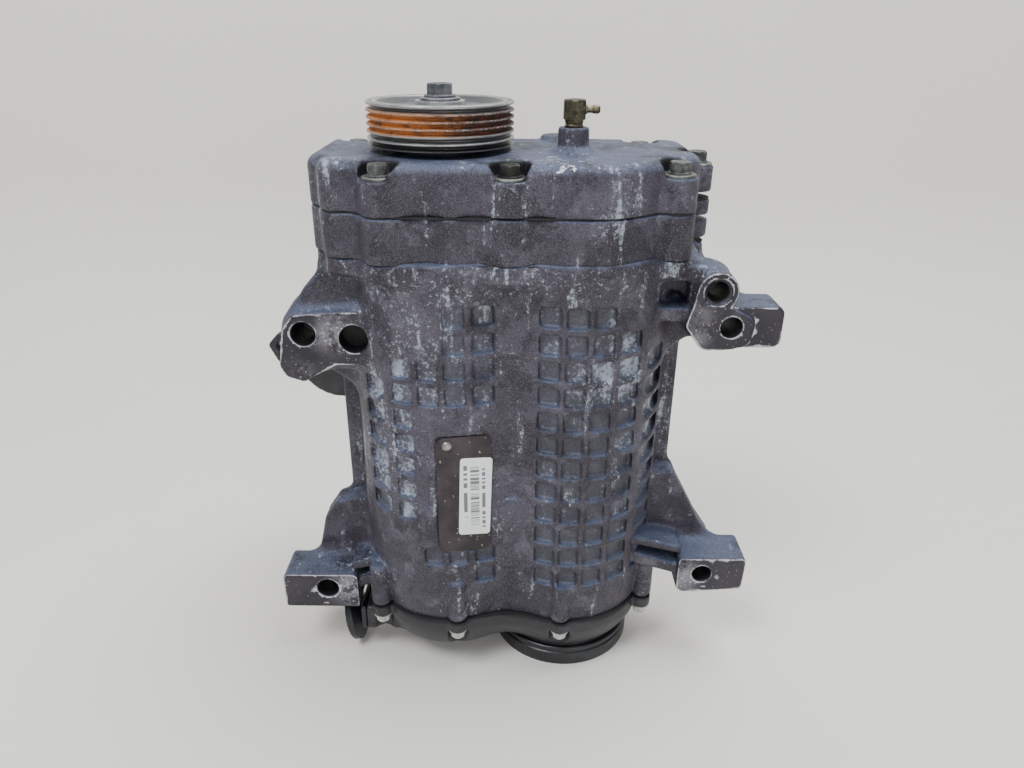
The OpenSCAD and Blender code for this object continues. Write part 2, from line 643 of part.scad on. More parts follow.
module drive_inner_rings() color(steel_grey) male_axis() {
    inner_race(lower_bearing_z);
    inner_race(top_bearing_z);
    inner_race(input_bearing_z);
}
module female_inner_rings() color(steel_grey) {
    inner_race(lower_bearing_z);
    inner_race(top_bearing_z);
}
module drive_bearing_balls() color("silver") male_axis() {
    balls(lower_bearing_z);
    balls(top_bearing_z);
    balls(input_bearing_z);
}
module drive_bearing_cages() color("#b08d3c") male_axis() {
    cage(lower_bearing_z);
    cage(top_bearing_z);
    cage(input_bearing_z);
}
module female_bearing_balls() color("silver") {
    balls(lower_bearing_z);
    balls(top_bearing_z);
}
module female_bearing_cages() color("#b08d3c") {
    cage(lower_bearing_z);
    cage(top_bearing_z);
}

rotor_housing();
gear_case();
top_cover();
inlet_cover();
inlet_collar();
bypass_pipe();
discharge_duct();
cover_gasket();
case_gasket();
inlet_gasket();
discharge_gasket();
cover_bolts();
cover_bolt_washers();
inlet_cover_bolts();
discharge_bolts();
dowel_pins();
id_plate();
plate_rivet();
label();
breather_body();
breather_barb();
oil_plug();
oil_plug_washer();
input_bearing_outer();
top_bearing_outers();
lower_bearing_outers();
bearing_retainer();
retainer_screws();
lower_bearing_caps();
cap_screws();
input_seal();
rotor_seals();
pulley();
pulley_bolt();
pulley_washer();
input_shaft();
coupling_pins();
coupling_bushes();
male_rotor();
male_shaft();
male_gear();
male_gear_nut();
drive_inner_rings();
female_rotor();
female_shaft();
female_gear();
female_gear_nut();
female_inner_rings();
drive_bearing_balls();
drive_bearing_cages();
female_bearing_balls();
female_bearing_cages();
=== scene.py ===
import math

import bpy
import numpy as np
import openvdb
from mathutils import Matrix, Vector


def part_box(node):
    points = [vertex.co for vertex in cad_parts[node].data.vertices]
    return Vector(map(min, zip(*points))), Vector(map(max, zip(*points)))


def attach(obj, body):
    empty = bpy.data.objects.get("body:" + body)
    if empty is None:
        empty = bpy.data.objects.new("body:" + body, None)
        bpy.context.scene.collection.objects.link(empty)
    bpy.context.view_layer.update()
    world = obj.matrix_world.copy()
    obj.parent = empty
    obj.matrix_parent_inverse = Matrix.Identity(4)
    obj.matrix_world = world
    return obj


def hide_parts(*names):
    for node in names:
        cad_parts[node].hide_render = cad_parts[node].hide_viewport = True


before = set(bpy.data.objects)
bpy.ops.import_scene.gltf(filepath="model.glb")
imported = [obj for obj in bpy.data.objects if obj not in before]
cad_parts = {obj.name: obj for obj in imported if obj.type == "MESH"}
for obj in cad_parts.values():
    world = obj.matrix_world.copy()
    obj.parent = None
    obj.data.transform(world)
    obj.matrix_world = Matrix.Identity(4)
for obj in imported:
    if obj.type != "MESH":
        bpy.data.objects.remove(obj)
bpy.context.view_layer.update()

# ---- Where the unit stands ---------------------------------------------------------------------
# It stands on its inlet collar on a pale seamless sweep, under soft window light from above.
# The casing's own middle plane lies half way between the two rotor axes.
rotor_boxes = [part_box("male_shaft"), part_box("female_shaft")]
MALE_X, FEMALE_X = [1000 * (lo[0] + hi[0]) / 2 for lo, hi in rotor_boxes]
MID_X = (MALE_X + FEMALE_X) / 2
HALF = (FEMALE_X - MALE_X) / 2

EYE = (MID_X + 1.9, -438.7, 390.5)
PITCH_DOWN = math.radians(24.9)
ROLL = math.radians(0.45)
camera = bpy.data.objects.new("camera", bpy.data.cameras.new("camera"))
camera.data.sensor_width = 36
camera.data.lens = 27.0
camera.location = [v / 1000 for v in EYE]
turn = Matrix.Rotation(math.pi / 2 - PITCH_DOWN, 4, "X") @ Matrix.Rotation(ROLL, 4, "Z")
camera.rotation_euler = turn.to_euler()
bpy.context.scene.collection.objects.link(camera)
bpy.context.scene.camera = camera

# The sweep: flat to SWEEP_Y, then a quarter circle, then straight up
SWEEP_Y, SWEEP_R, SWEEP_WIDE, SWEEP_TALL = 0.32, 0.22, 4.0, 3.0
bend = np.linspace(0, math.pi / 2, 24)
sweep_y = np.concatenate([[-SWEEP_WIDE], SWEEP_Y + SWEEP_R * np.sin(bend), [SWEEP_Y + SWEEP_R]])
sweep_z = np.concatenate([[0], SWEEP_R * (1 - np.cos(bend)), [SWEEP_TALL]])
sweep_points = [(x, y, z) for y, z in zip(sweep_y, sweep_z) for x in (-SWEEP_WIDE, SWEEP_WIDE)]
sweep_mesh = bpy.data.meshes.new("bench")
sweep_mesh.from_pydata(sweep_points, [],
                       [(2 * i, 2 * i + 1, 2 * i + 3, 2 * i + 2) for i in range(len(sweep_y) - 1)])
sweep_mesh.polygons.foreach_set("use_smooth", [True] * len(sweep_mesh.polygons))
bench = bpy.data.objects.new("bench", sweep_mesh)
bpy.context.scene.collection.objects.link(bench)


def softbox(name, place, aim, size, watts, colour):
    """A square area light at place, turned to face aim."""
    lamp = bpy.data.lights.new(name, "AREA")
    lamp.size, lamp.energy, lamp.color = size, watts, colour
    holder = bpy.data.objects.new(name, lamp)
    holder.location = place
    away = np.subtract(place, aim)
    holder.rotation_euler = [0, math.acos(away[2] / np.linalg.norm(away)), math.atan2(away[1], away[0])]
    bpy.context.scene.collection.objects.link(holder)


softbox("window", (-0.7, -0.75, 1.7), (-0.03, 0, 0.2), 0.7, 24, (0.95, 0.98, 1.0))
softbox("ceiling", (0.5, 0.1, 1.9), (0, 0, 0.1), 0.9, 26, (0.90, 0.95, 1.0))
softbox("front_fill", (0.5, -1.7, 0.5), (0, 0, 0.15), 1.2, 9, (1.0, 0.96, 0.92))
world = bpy.data.worlds.new("room")
bpy.context.scene.world = world
world.use_nodes = True
world.node_tree.nodes["Background"].inputs["Color"].default_value = (0.82, 0.88, 1.0, 1)
world.node_tree.nodes["Background"].inputs["Strength"].default_value = 0.55


def paint(name, rough=0.5, metal=0.0):
    """A new material, its shader, and helpers that add a node and link two sockets."""
    material = bpy.data.materials.new(name)
    material.use_nodes = True
    tree = material.node_tree
    shader = tree.nodes["Principled BSDF"]
    shader.inputs["Roughness"].default_value = rough
    shader.inputs["Metallic"].default_value = metal

    def add(kind, inputs=None, **settings):
        made = tree.nodes.new("ShaderNode" + kind)
        for key, value in settings.items():
            setattr(made, key, value)
        for key, value in (inputs or {}).items():
            if isinstance(value, bpy.types.NodeSocket):
                tree.links.new(value, made.inputs[key])
            else:
                made.inputs[key].default_value = value
        return made

    return material, shader, add, tree.links.new


def noise_of(add, where, scale, detail=4.0, rough=0.55):
    """Fractal noise with features about 1/scale metres across, as a 0 to 1 value."""
    return add("TexNoise", {"Vector": where, "Scale": scale, "Detail": detail,
                            "Roughness": rough}).outputs["Fac"]


def mixed(add, share, first, second):
    """The first colour where share is 0, the second where it is 1."""
    made = add("Mix", {0: share}, data_type="RGBA")
    for place, colour in ((6, first), (7, second)):
        if isinstance(colour, bpy.types.NodeSocket):
            made.id_data.links.new(colour, made.inputs[place])
        else:
            made.inputs[place].default_value = (*colour, 1)
    return made.outputs[2]


bench_paint, shader, add, link = paint("pale_bench", 0.8)
grain = noise_of(add, add("TexCoord").outputs["Object"], 3, 3)
link(mixed(add, grain, (0.80, 0.76, 0.69), (0.83, 0.80, 0.74)), shader.inputs["Base Color"])
bench.data.materials.append(bench_paint)

# ---- Rotor housing -----------------------------------------------------------------------------
# One die-cast alloy shell round both rotors, with waffle pockets in front, four mounting ears
# with machined faces, and a flange on top. The alloy is grey-violet with white oxide bloom.


def samples(lo, hi, step):
    """Sample points in millimetres from lo to hi, each coordinate on its own array axis."""
    axes = [np.arange(a, b, step, dtype=np.float32) for a, b in zip(lo, hi)]
    return axes[0][:, None, None], axes[1][None, :, None], axes[2][None, None, :]


def join(a, b, blend):
    """Union of two distance fields with a fillet about blend wide."""
    h = np.clip(0.5 + 0.5 * (b - a) / blend, 0, 1)
    return b + (a - b) * h - blend * h * (1 - h)


def carve(a, b, blend):
    """Field a with field b taken away, its edges eased about blend wide."""
    return -join(-a, b, blend)


def both(a, b, edge):
    """Where both fields are solid, with the meeting edge rounded to radius edge."""
    u, v = a + edge, b + edge
    return np.minimum(np.maximum(u, v), 0) + np.hypot(np.maximum(u, 0), np.maximum(v, 0)) - edge


def disc(u, v, cu, cv, r):
    """Distance to a circle of radius r in the plane of u and v."""
    return np.hypot(u - cu, v - cv) - r


def slab(w, low, high):
    """Distance to the layer between two parallel planes."""
    return np.maximum(low - w, w - high)


def block(u, v, cu, cv, hu, hv, r):
    """Distance to a rectangle with corners rounded to r."""
    a, b = np.abs(u - cu) - (hu - r), np.abs(v - cv) - (hv - r)
    return np.hypot(np.maximum(a, 0), np.maximum(b, 0)) + np.minimum(np.maximum(a, b), 0) - r


def outline(u, v, points, r):
    """Distance to a closed polygon grown by r: nearest edge, negative inside by even-odd crossings."""
    near = None
    inside = None
    for (u0, v0), (u1, v1) in zip(points, points[1:] + points[:1]):
        du, dv = u1 - u0, v1 - v0
        t = np.clip(((u - u0) * du + (v - v0) * dv) / (du * du + dv * dv), 0, 1)
        d = np.hypot(u - u0 - t * du, v - v0 - t * dv)
        near = d if near is None else np.minimum(near, d)
        crosses = ((v0 > v) != (v1 > v)) & (u < u0 + du * (v - v0) / (dv if dv else 1e-9))
        inside = crosses if inside is None else inside ^ crosses
    return np.where(inside, -near, near) - r


def skin(name, field, lo, step, material, ease=0.0):
    """Closed mesh where a distance field in millimetres is zero, in metres in the unit's frame,
    riding on the casing."""
    grid = openvdb.FloatGrid(3 * step)
    grid.copyFromArray(np.clip(field, -3 * step, 3 * step).astype(np.float32))
    points, triangles, quads = grid.convertToPolygons(0.0, ease)
    place = (points * step + np.array(lo)) / 1000
    place[:, 0] += MID_X / 1000
    return mesh_piece(name, place, [triangles, quads], material, "casing")


def mesh_piece(name, place, faces, material, body, crease=50):
    """A mesh from vertex places and arrays of triangles and quads, turned outwards, riding on body."""
    mesh = bpy.data.meshes.new(name)
    faces = [f for f in faces if len(f)]
    loops = np.concatenate([f.ravel() for f in faces]).astype(np.int32)
    sizes = np.concatenate([np.full(len(f), f.shape[1]) for f in faces])
    corner = place[loops]
    starts = np.concatenate([[0], np.cumsum(sizes)[:-1]])
    a, b, c = place[loops[starts]], place[loops[starts + 1]], place[loops[starts + 2]]
    volume = np.einsum("ij,ij->i", a, np.cross(b, c)).sum()
    if volume < 0:
        loops = np.concatenate([f[:, ::-1].ravel() for f in faces]).astype(np.int32)
    mesh.vertices.add(len(place))
    mesh.vertices.foreach_set("co", place.astype(np.float32).ravel())
    mesh.loops.add(len(loops))
    mesh.loops.foreach_set("vertex_index", loops)
    mesh.polygons.add(len(sizes))
    mesh.polygons.foreach_set("loop_start", starts.astype(np.int32))
    mesh.polygons.foreach_set("use_smooth", np.full(len(sizes), True))
    mesh.update(calc_edges=True)
    mesh.validate()
    mesh.set_sharp_from_angle(angle=math.radians(crease))
    piece = bpy.data.objects.new(name, mesh)
    bpy.context.scene.collection.objects.link(piece)
    mesh.materials.append(material)
    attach(piece, body)
    return piece


LOBE_R, BORE_R, BEARING_SEAT_R = 55.5, 48.4, 20.2
HOUSING_LOW, HOUSING_TOP = 43.9, 277.6
WALL_LOW, WALL_TOP = 62, 84  # the lower bearing wall
PORT = (0, 234, 26, 15, 1)  # the discharge port: middle X and Z, half width and height, corner
POCKET, POCKET_DEEP, POCKET_PITCH, POCKET_TOP = 12.2, 3.6, 15.6, 250.0
RIGHT_COLUMNS = [(22.5, 0), (37, 0), (52, 0), (67.5, 1), (84.5, 2)]
LEFT_COLUMNS = [(-14, 0, 3), (-30, 0, 3), (-45, 2, 3), (-60, 2, 8), (-77, 3, 8),
                (-14, 10, 11), (-30, 10, 10), (-45, 10, 10)]
EAR_FACE = -37.5
EAR_BACK = EAR_FACE + 27
PLATE_SET_BACK = 2.5  # the upper right ear's plate lies this far behind its boss
INLET_BOLTS = [(-32, -52), (34, -52), (-83, -37), (90, -26), (-70, 42), (70, 42)]
# Each ear hole: centre X and Z, radius, depth
EAR_HOLES = [(-118, 55, 7.0, 60), (126, 69, 6.1, 60), (-115.6, 233.8, 7.0, 60), (-87.2, 231, 8.3, 9.5),
             (114.5, 260, 5.7, 60), (124, 239.7, 6.1, 60)]
# Each ear rib: centre X and Z, half length, half thickness, and fall per mm away from the middle
EAR_RIBS = [(-80, 75, 22, 3.0, 0.24), (-80, 63.5, 22, 4.0, 0.38),
            (88, 90.6, 24, 2.8, 0.25), (88, 77, 24, 4.2, 0.31),
            (-66, 247, 22, 3, 0.0), (-68, 224, 18, 2.6, 0.05),
            (88, 269, 20, 4.0, 0.0), (87, 245.6, 18, 4.1, 0.0)]
PLATE_TURN = math.radians(9)  # the data plate faces a little to the right
PLATE_FOOT = (-26.0, -51.7)


def lobes(x, y, r):
    """Two circles round the rotor axes with the valley between them partly filled."""
    return join(disc(x, y, HALF, 0, r), disc(x, y, -HALF, 0, r), 24)


def case_plan(x, y, inset=0.0):
    """Plan of the gear case: a six-sided body with round corners, bolt bosses and a front notch."""
    body = outline(x, y, [(-60, -40.5), (48, -40.5), (90, -6), (90, 39.5), (-95, 39.5), (-95, -14)], 14)
    body = join(body, disc(x, y, HALF, 0, 54.5), 6)
    for cx, cy, r in ((-66, -45.5, 10), (0, -45, 9.5), (88, -31, 10.5), (-90, -30, 10.5), (105, 8, 9.5)):
        body = join(body, disc(x, y, cx, cy, r), 5)
    body = carve(body, disc(x, y, -17, -62.5, 10), 6)
    body = carve(body, disc(x, y, 15, -63, 10), 6)
    return carve(body, disc(x, y, -44, -65, 12.5), 6) + inset


def waffle(x, z):
    """Distance to the nearest pocket's rounded square, over the front."""
    field = None
    for column, first, last in [(c, r, 11) for c, r in RIGHT_COLUMNS] + LEFT_COLUMNS:
        for row in range(first, last + 1):
            one = block(x, z, column, POCKET_TOP - row * POCKET_PITCH, POCKET / 2, POCKET / 2, 2.6)
            field = one if field is None else np.minimum(field, one)
    return field


def housing_body(x, y, z):
    """Distance field of the housing between its two joints, without the ears."""
    ledge = 94 + 10 * np.clip((z - 62) / 14, 0, 1)
    draft = 2.5 * np.clip((70 - z) / 26, 0, 1)
    front = lobes(x, y, LOBE_R) + draft
    rear = both(both(np.abs(x) - ledge, -3 - y, 2.5), y - 50, 8)
    body = join(front, rear, 5)
    body = both(body, slab(z, HOUSING_LOW, HOUSING_TOP), 0.8)
    body = join(body, both(case_plan(x, y, 1.0), slab(z, 269, HOUSING_TOP), 0.8), 9)
    for cx, cy in INLET_BOLTS:
        body = join(body, both(disc(x, y, cx, cy, 6.5), slab(z, HOUSING_LOW, 76), 4), 1.2)
    body = join(body, both(block(x, z, 0, 233.75, 48, 32.7, 4), slab(y, 30, 56), 1), 4)
    # Waffle pockets: the floor follows the lobes, and the walls lean out a little
    shelf = -(front + POCKET_DEEP)
    lean = waffle(x, z) + 0.22 * np.clip(-front, 0, POCKET_DEEP)
    pockets = both(np.maximum(lean, y + 4), shelf, 1.2)
    body = carve(body, pockets, 0.9)
    body = join(body, both(disc(x, z, -43, 123, 9), slab(y, -56.3, -40), 1.2), 1.5)
    return join(body, both(disc(x, z, 3, 125, 9), slab(y, -50.6, -40), 1.2), 1.5)


def low_left_face(x, z):
    """Outline of the lower left ear's machined face."""
    return block(x, z, -122.5, 52.2, 24.5, 13.7, 4)


def low_right_face(x, z):
    """Outline of the lower right ear's machined face, its inner lower corner cut away."""
    return outline(x, z, [(113.4, 58.4), (115, 57.2), (150.6, 59.8), (150.9, 78.3), (113.4, 78)], 3)


def high_left_face(x, z):
    """Outline of the upper left ear: two bosses side by side and a lobe hanging from the left one."""
    bosses = [(-122.5, 234.5), (-118, 240.4), (-85, 242.3), (-79.8, 240.5), (-78.2, 232), (-79.2, 226),
              (-85, 220.2)]
    lobe = [(-99.5, 220.2), (-111, 213.8), (-118, 209.6), (-124.2, 211.5), (-126, 215), (-124.6, 222.5)]
    return outline(x, z, bosses + lobe, 4.9)


def high_right_boss(x, z):
    """Outline of the upper right ear's front part: a round boss over a slanting block."""
    lower = [(111, 230.8), (123, 231), (131, 233), (131, 241), (120, 247), (107.5, 256), (103.5, 241)]
    return join(disc(x, z, 114.5, 260, 11.4), outline(x, z, lower, 5), 3)


def high_right_plate(x, z):
    """Outline of the upper right ear's plate, which reaches out to the right."""
    return block(x, z, 136, 239, 17.5, 12.2, 5)


def high_right_face(x, z):
    """Outline of the whole upper right ear."""
    return join(high_right_boss(x, z), high_right_plate(x, z), 2)


def ear_web(x, y, z, points):
    """The thin plate behind an ear, which ties it to the body along the given outline."""
    return both(outline(x, z, points, 4), slab(y, -14, 4), 3)


def ear_slope(x, y, z, points, r, front):
    """The sloping shoulder from the top of the body out to an upper ear."""
    return both(outline(x, z, points, r), slab(y, front, 4), 4)


def with_ears(body, x, y, z):
    """The body with each ear's face block, web, shoulder and ribs blended in, and the upper right window."""
    deep = slab(y, EAR_FACE, EAR_BACK)
    web = ear_web(x, y, z, [(-90, 108), (-110, 104), (-118, 92), (-124, 66), (-124, 50), (-90, 50)])
    low_left = join(both(low_left_face(x, z), deep, 0.8), web, 8)
    web = ear_web(x, y, z, [(90, 128), (104, 128), (122, 94), (132, 79), (132, 62), (90, 62)])
    low_right = join(both(low_right_face(x, z), deep, 0.8), web, 8)
    shoulder = [(-90, 270), (-103, 264), (-111, 255), (-122, 238), (-124, 226), (-116, 216), (-90, 214)]
    slope = ear_slope(x, y, z, shoulder, 5, -31)
    web = ear_web(x, y, z, [(-90, 250), (-122, 240), (-122, 216), (-90, 194)])
    high_left = join(join(both(high_left_face(x, z), deep, 0.8), slope, 9), web, 6)
    shoulder = [(90, 272), (102, 272), (112, 264), (114, 250), (100, 258), (90, 262)]
    slope = ear_slope(x, y, z, shoulder, 4, -30)
    web = ear_web(x, y, z, [(90, 262), (121, 262), (130, 247), (130, 233), (106, 230), (90, 218)])
    behind = slab(y, EAR_FACE + PLATE_SET_BACK, EAR_BACK)
    plate = both(both(high_right_plate(x, z), behind, 0.8), 118 - x, 0.8)
    high_right = join(join(join(plate, both(high_right_boss(x, z), deep, 0.8), 1.0), slope, 8), web, 6)
    for ear in (low_left, low_right, high_left, high_right):
        body = join(body, ear, 7)
    for cx, cz, reach, thick, lean in EAR_RIBS:
        bar = block(x, z + lean * (x - cx) * np.sign(cx), cx, cz, reach, thick, 2)
        body = join(body, both(bar, slab(y, -34, -12), 2), 2.5)
    return carve(body, both(block(x, z, 92, 257.4, 8, 7.2, 3), y + 22, 1.5), 1.0)


def housing(x, y, z):
    """The whole housing, with its holes, plate recess, rotor bores, bearing seats and windows."""
    field = with_ears(housing_body(x, y, z), x, y, z)
    for cx, cz, r, deep in EAR_HOLES:
        field = carve(field, np.maximum(disc(x, z, cx, cz, r), y - EAR_FACE - deep), 0.7)
    field = carve(field, np.maximum(disc(x, z, 114.5, 260, 7.6), y - EAR_FACE - 1.5), 0.5)
    right, back = x - PLATE_FOOT[0], y - PLATE_FOOT[1]
    along = right * math.cos(PLATE_TURN) + back * math.sin(PLATE_TURN)
    across = back * math.cos(PLATE_TURN) - right * math.sin(PLATE_TURN)
    recess = both(block(along, z, 0, 137.75, 17, 41.2, 4), np.maximum(across, -across - 12), 0.4)
    field = carve(field, recess, 0.6)
    bores = np.minimum(disc(x, y, HALF, 0, BORE_R), disc(x, y, -HALF, 0, BORE_R))
    spokes = np.minimum(np.minimum(np.abs(x - HALF), np.abs(x + HALF)), np.abs(y)) - 6
    hubs = np.minimum(disc(x, y, HALF, 0, 28), disc(x, y, -HALF, 0, 28))
    windows = np.maximum(np.maximum(bores + 2.4, -spokes), -hubs)
    seats = np.minimum(disc(x, y, HALF, 0, BEARING_SEAT_R), disc(x, y, -HALF, 0, BEARING_SEAT_R))
    for hollow in (np.maximum(bores, WALL_TOP - z), np.maximum(bores + 1, z - WALL_LOW),
                   np.maximum(windows, z - 100), np.maximum(seats, z - 74.2),
                   np.maximum(seats + 7.7, z - 90)):
        field = np.maximum(field, -hollow)
    return np.maximum(field, -both(block(x, z, *PORT), 20 - y, 1))


def places_of(piece):
    """The piece's vertex places in millimetres from the casing's middle, as x, y and z."""
    place = np.empty(3 * len(piece.data.vertices), dtype=np.float32)
    piece.data.vertices.foreach_get("co", place)
    return (place.reshape(-1, 3) * 1000 - (MID_X, 0, 0)).T


def mark(piece, **values):
    """Stores each named share on the piece's vertices, for its material to read."""
    for name, share in values.items():
        marks = piece.data.attributes.new(name, "FLOAT", "POINT")
        marks.data.foreach_set("value", share.astype(np.float32))


def worn_marks(piece):
    """Marks how far each vertex lies in a pocket, on a machined face or its edge, in a patch or a hole. The
    edge mark carries a painted glint and the hole mark painted shade.
    """
    x, y, z = places_of(piece)
    sunk = -(np.hypot(np.abs(x) - HALF, y) - LOBE_R) - 0.6
    hollow = np.clip(sunk / 2.2, 0, 1) * (waffle(x, z) < 0.6) * (y < -4)
    faces = np.minimum(np.minimum(low_left_face(x, z), low_right_face(x, z)),
                       np.minimum(high_left_face(x, z), high_right_face(x, z)))
    flat = np.clip(1.6 - np.abs(y - EAR_FACE) / 0.5, 0, 1) * (faces < 0.3)
    set_back = np.clip(1.6 - np.abs(y - EAR_FACE - PLATE_SET_BACK) / 0.5, 0, 1) * (x > 118) * (z > 200)
    machined = np.maximum(flat, set_back)
    holes = np.min([np.abs(disc(x, z, cx, cz, r + 0.6)) for cx, cz, r, _ in EAR_HOLES]
                   + [np.abs(disc(x, z, 114.5, 260, 8.2)),
                      np.abs(disc(x, z, 124, 239.7, 14)) + 3 * (x < 124)], axis=0)
    arcs = np.minimum(np.abs(disc(x, z, -118, 55, 12)) + 3 * (x > -118),
                      np.abs(disc(x, z, 126, 69, 10.5)) + 3 * (x < 124))
    # Along the machined faces' edges and the holes' lips: a mask for a painted highlight, laid on in the
    # material
    rim = np.maximum(np.exp(-((faces + 0.5) / 0.9) ** 2),
                     np.exp(-(np.minimum(holes, arcs) / 0.7) ** 2)) * machined
    # Each pale patch: centre X and Z, radius, strength
    spots = [(-103, 52, 9, 1.0), (-105, 61, 8, 0.8), (115, 70, 8, 0.9), (115, 61, 7, 0.7),
             (-101, 233, 8, 1.0), (-118, 211, 6, 0.5), (-97, 241, 7, 0.6), (107, 247, 6, 0.6),
             (106, 234, 6, 0.7), (128, 252, 4, 0.4)]
    pale = sum(share * np.exp(-((x - cx) ** 2 + (z - cz) ** 2) / r ** 2) for cx, cz, r, share in spots)
    # Painted shade deep in the ear holes: the bore walls behind the machined face go near black
    depth = np.clip((y - EAR_FACE - 0.6) / 1.0, 0, 1)
    grime = np.max([depth * (disc(x, z, cx, cz, r) < 0.9) for cx, cz, r, _ in EAR_HOLES],
                   axis=0) * (y < EAR_FACE + 26)
    mark(piece, hollow=hollow, machined=machined, rim=rim, pale=np.clip(pale, 0, 1), grime=grime)


def ramp_of(add, value, low, high):
    """Rises smoothly from 0 where value is low to 1 where it is high."""
    made = add("MapRange", {"Value": value, "From Min": low, "From Max": high},
               interpolation_type="SMOOTHSTEP")
    return made.outputs["Result"]


def calc(add, operation, first, second):
    """One arithmetic step on two values."""
    return add("Math", {0: first, 1: second}, operation=operation).outputs[0]


def times(add, first, second):
    """The product of two values."""
    return calc(add, "MULTIPLY", first, second)


def plus(add, first, second):
    """The sum of two values."""
    return calc(add, "ADD", first, second)


def washed(add, colour, tone, share, amount):
    """The colour with tone laid over it, by amount where share is 1."""
    return mixed(add, times(add, share, amount), colour, tone)


def along_z(add, where, factor):
    """Object places with their height scaled, so that a noise read there is drawn out up and down."""
    return add("VectorMath", {0: where, 1: (1.0, 1.0, factor)}, operation="MULTIPLY").outputs[0]


def spread(add, value, low, high):
    """Carries a noise value from its usual range of 0.3 to 0.7 over to low and high."""
    made = add("MapRange", {"Value": value, "From Min": 0.3, "From Max": 0.7, "To Min": low,
                            "To Max": high})
    return made.outputs["Result"]


def stored(add, name):
    """The share that the piece's vertices carry under this name, 0 where they carry none."""
    return add("Attribute", attribute_name=name).outputs["Fac"]


def roughened(add, link, shader, coarse, fine, coarse_deep, fine_deep, strength):
    """Bumps the surface with a coarse height and a fine one."""
    low = add("Bump", {"Height": coarse, "Strength": strength, "Distance": coarse_deep})
    high = add("Bump", {"Height": fine, "Strength": strength, "Distance": fine_deep,
                        "Normal": low.outputs["Normal"]})
    link(high.outputs["Normal"], shader.inputs["Normal"])


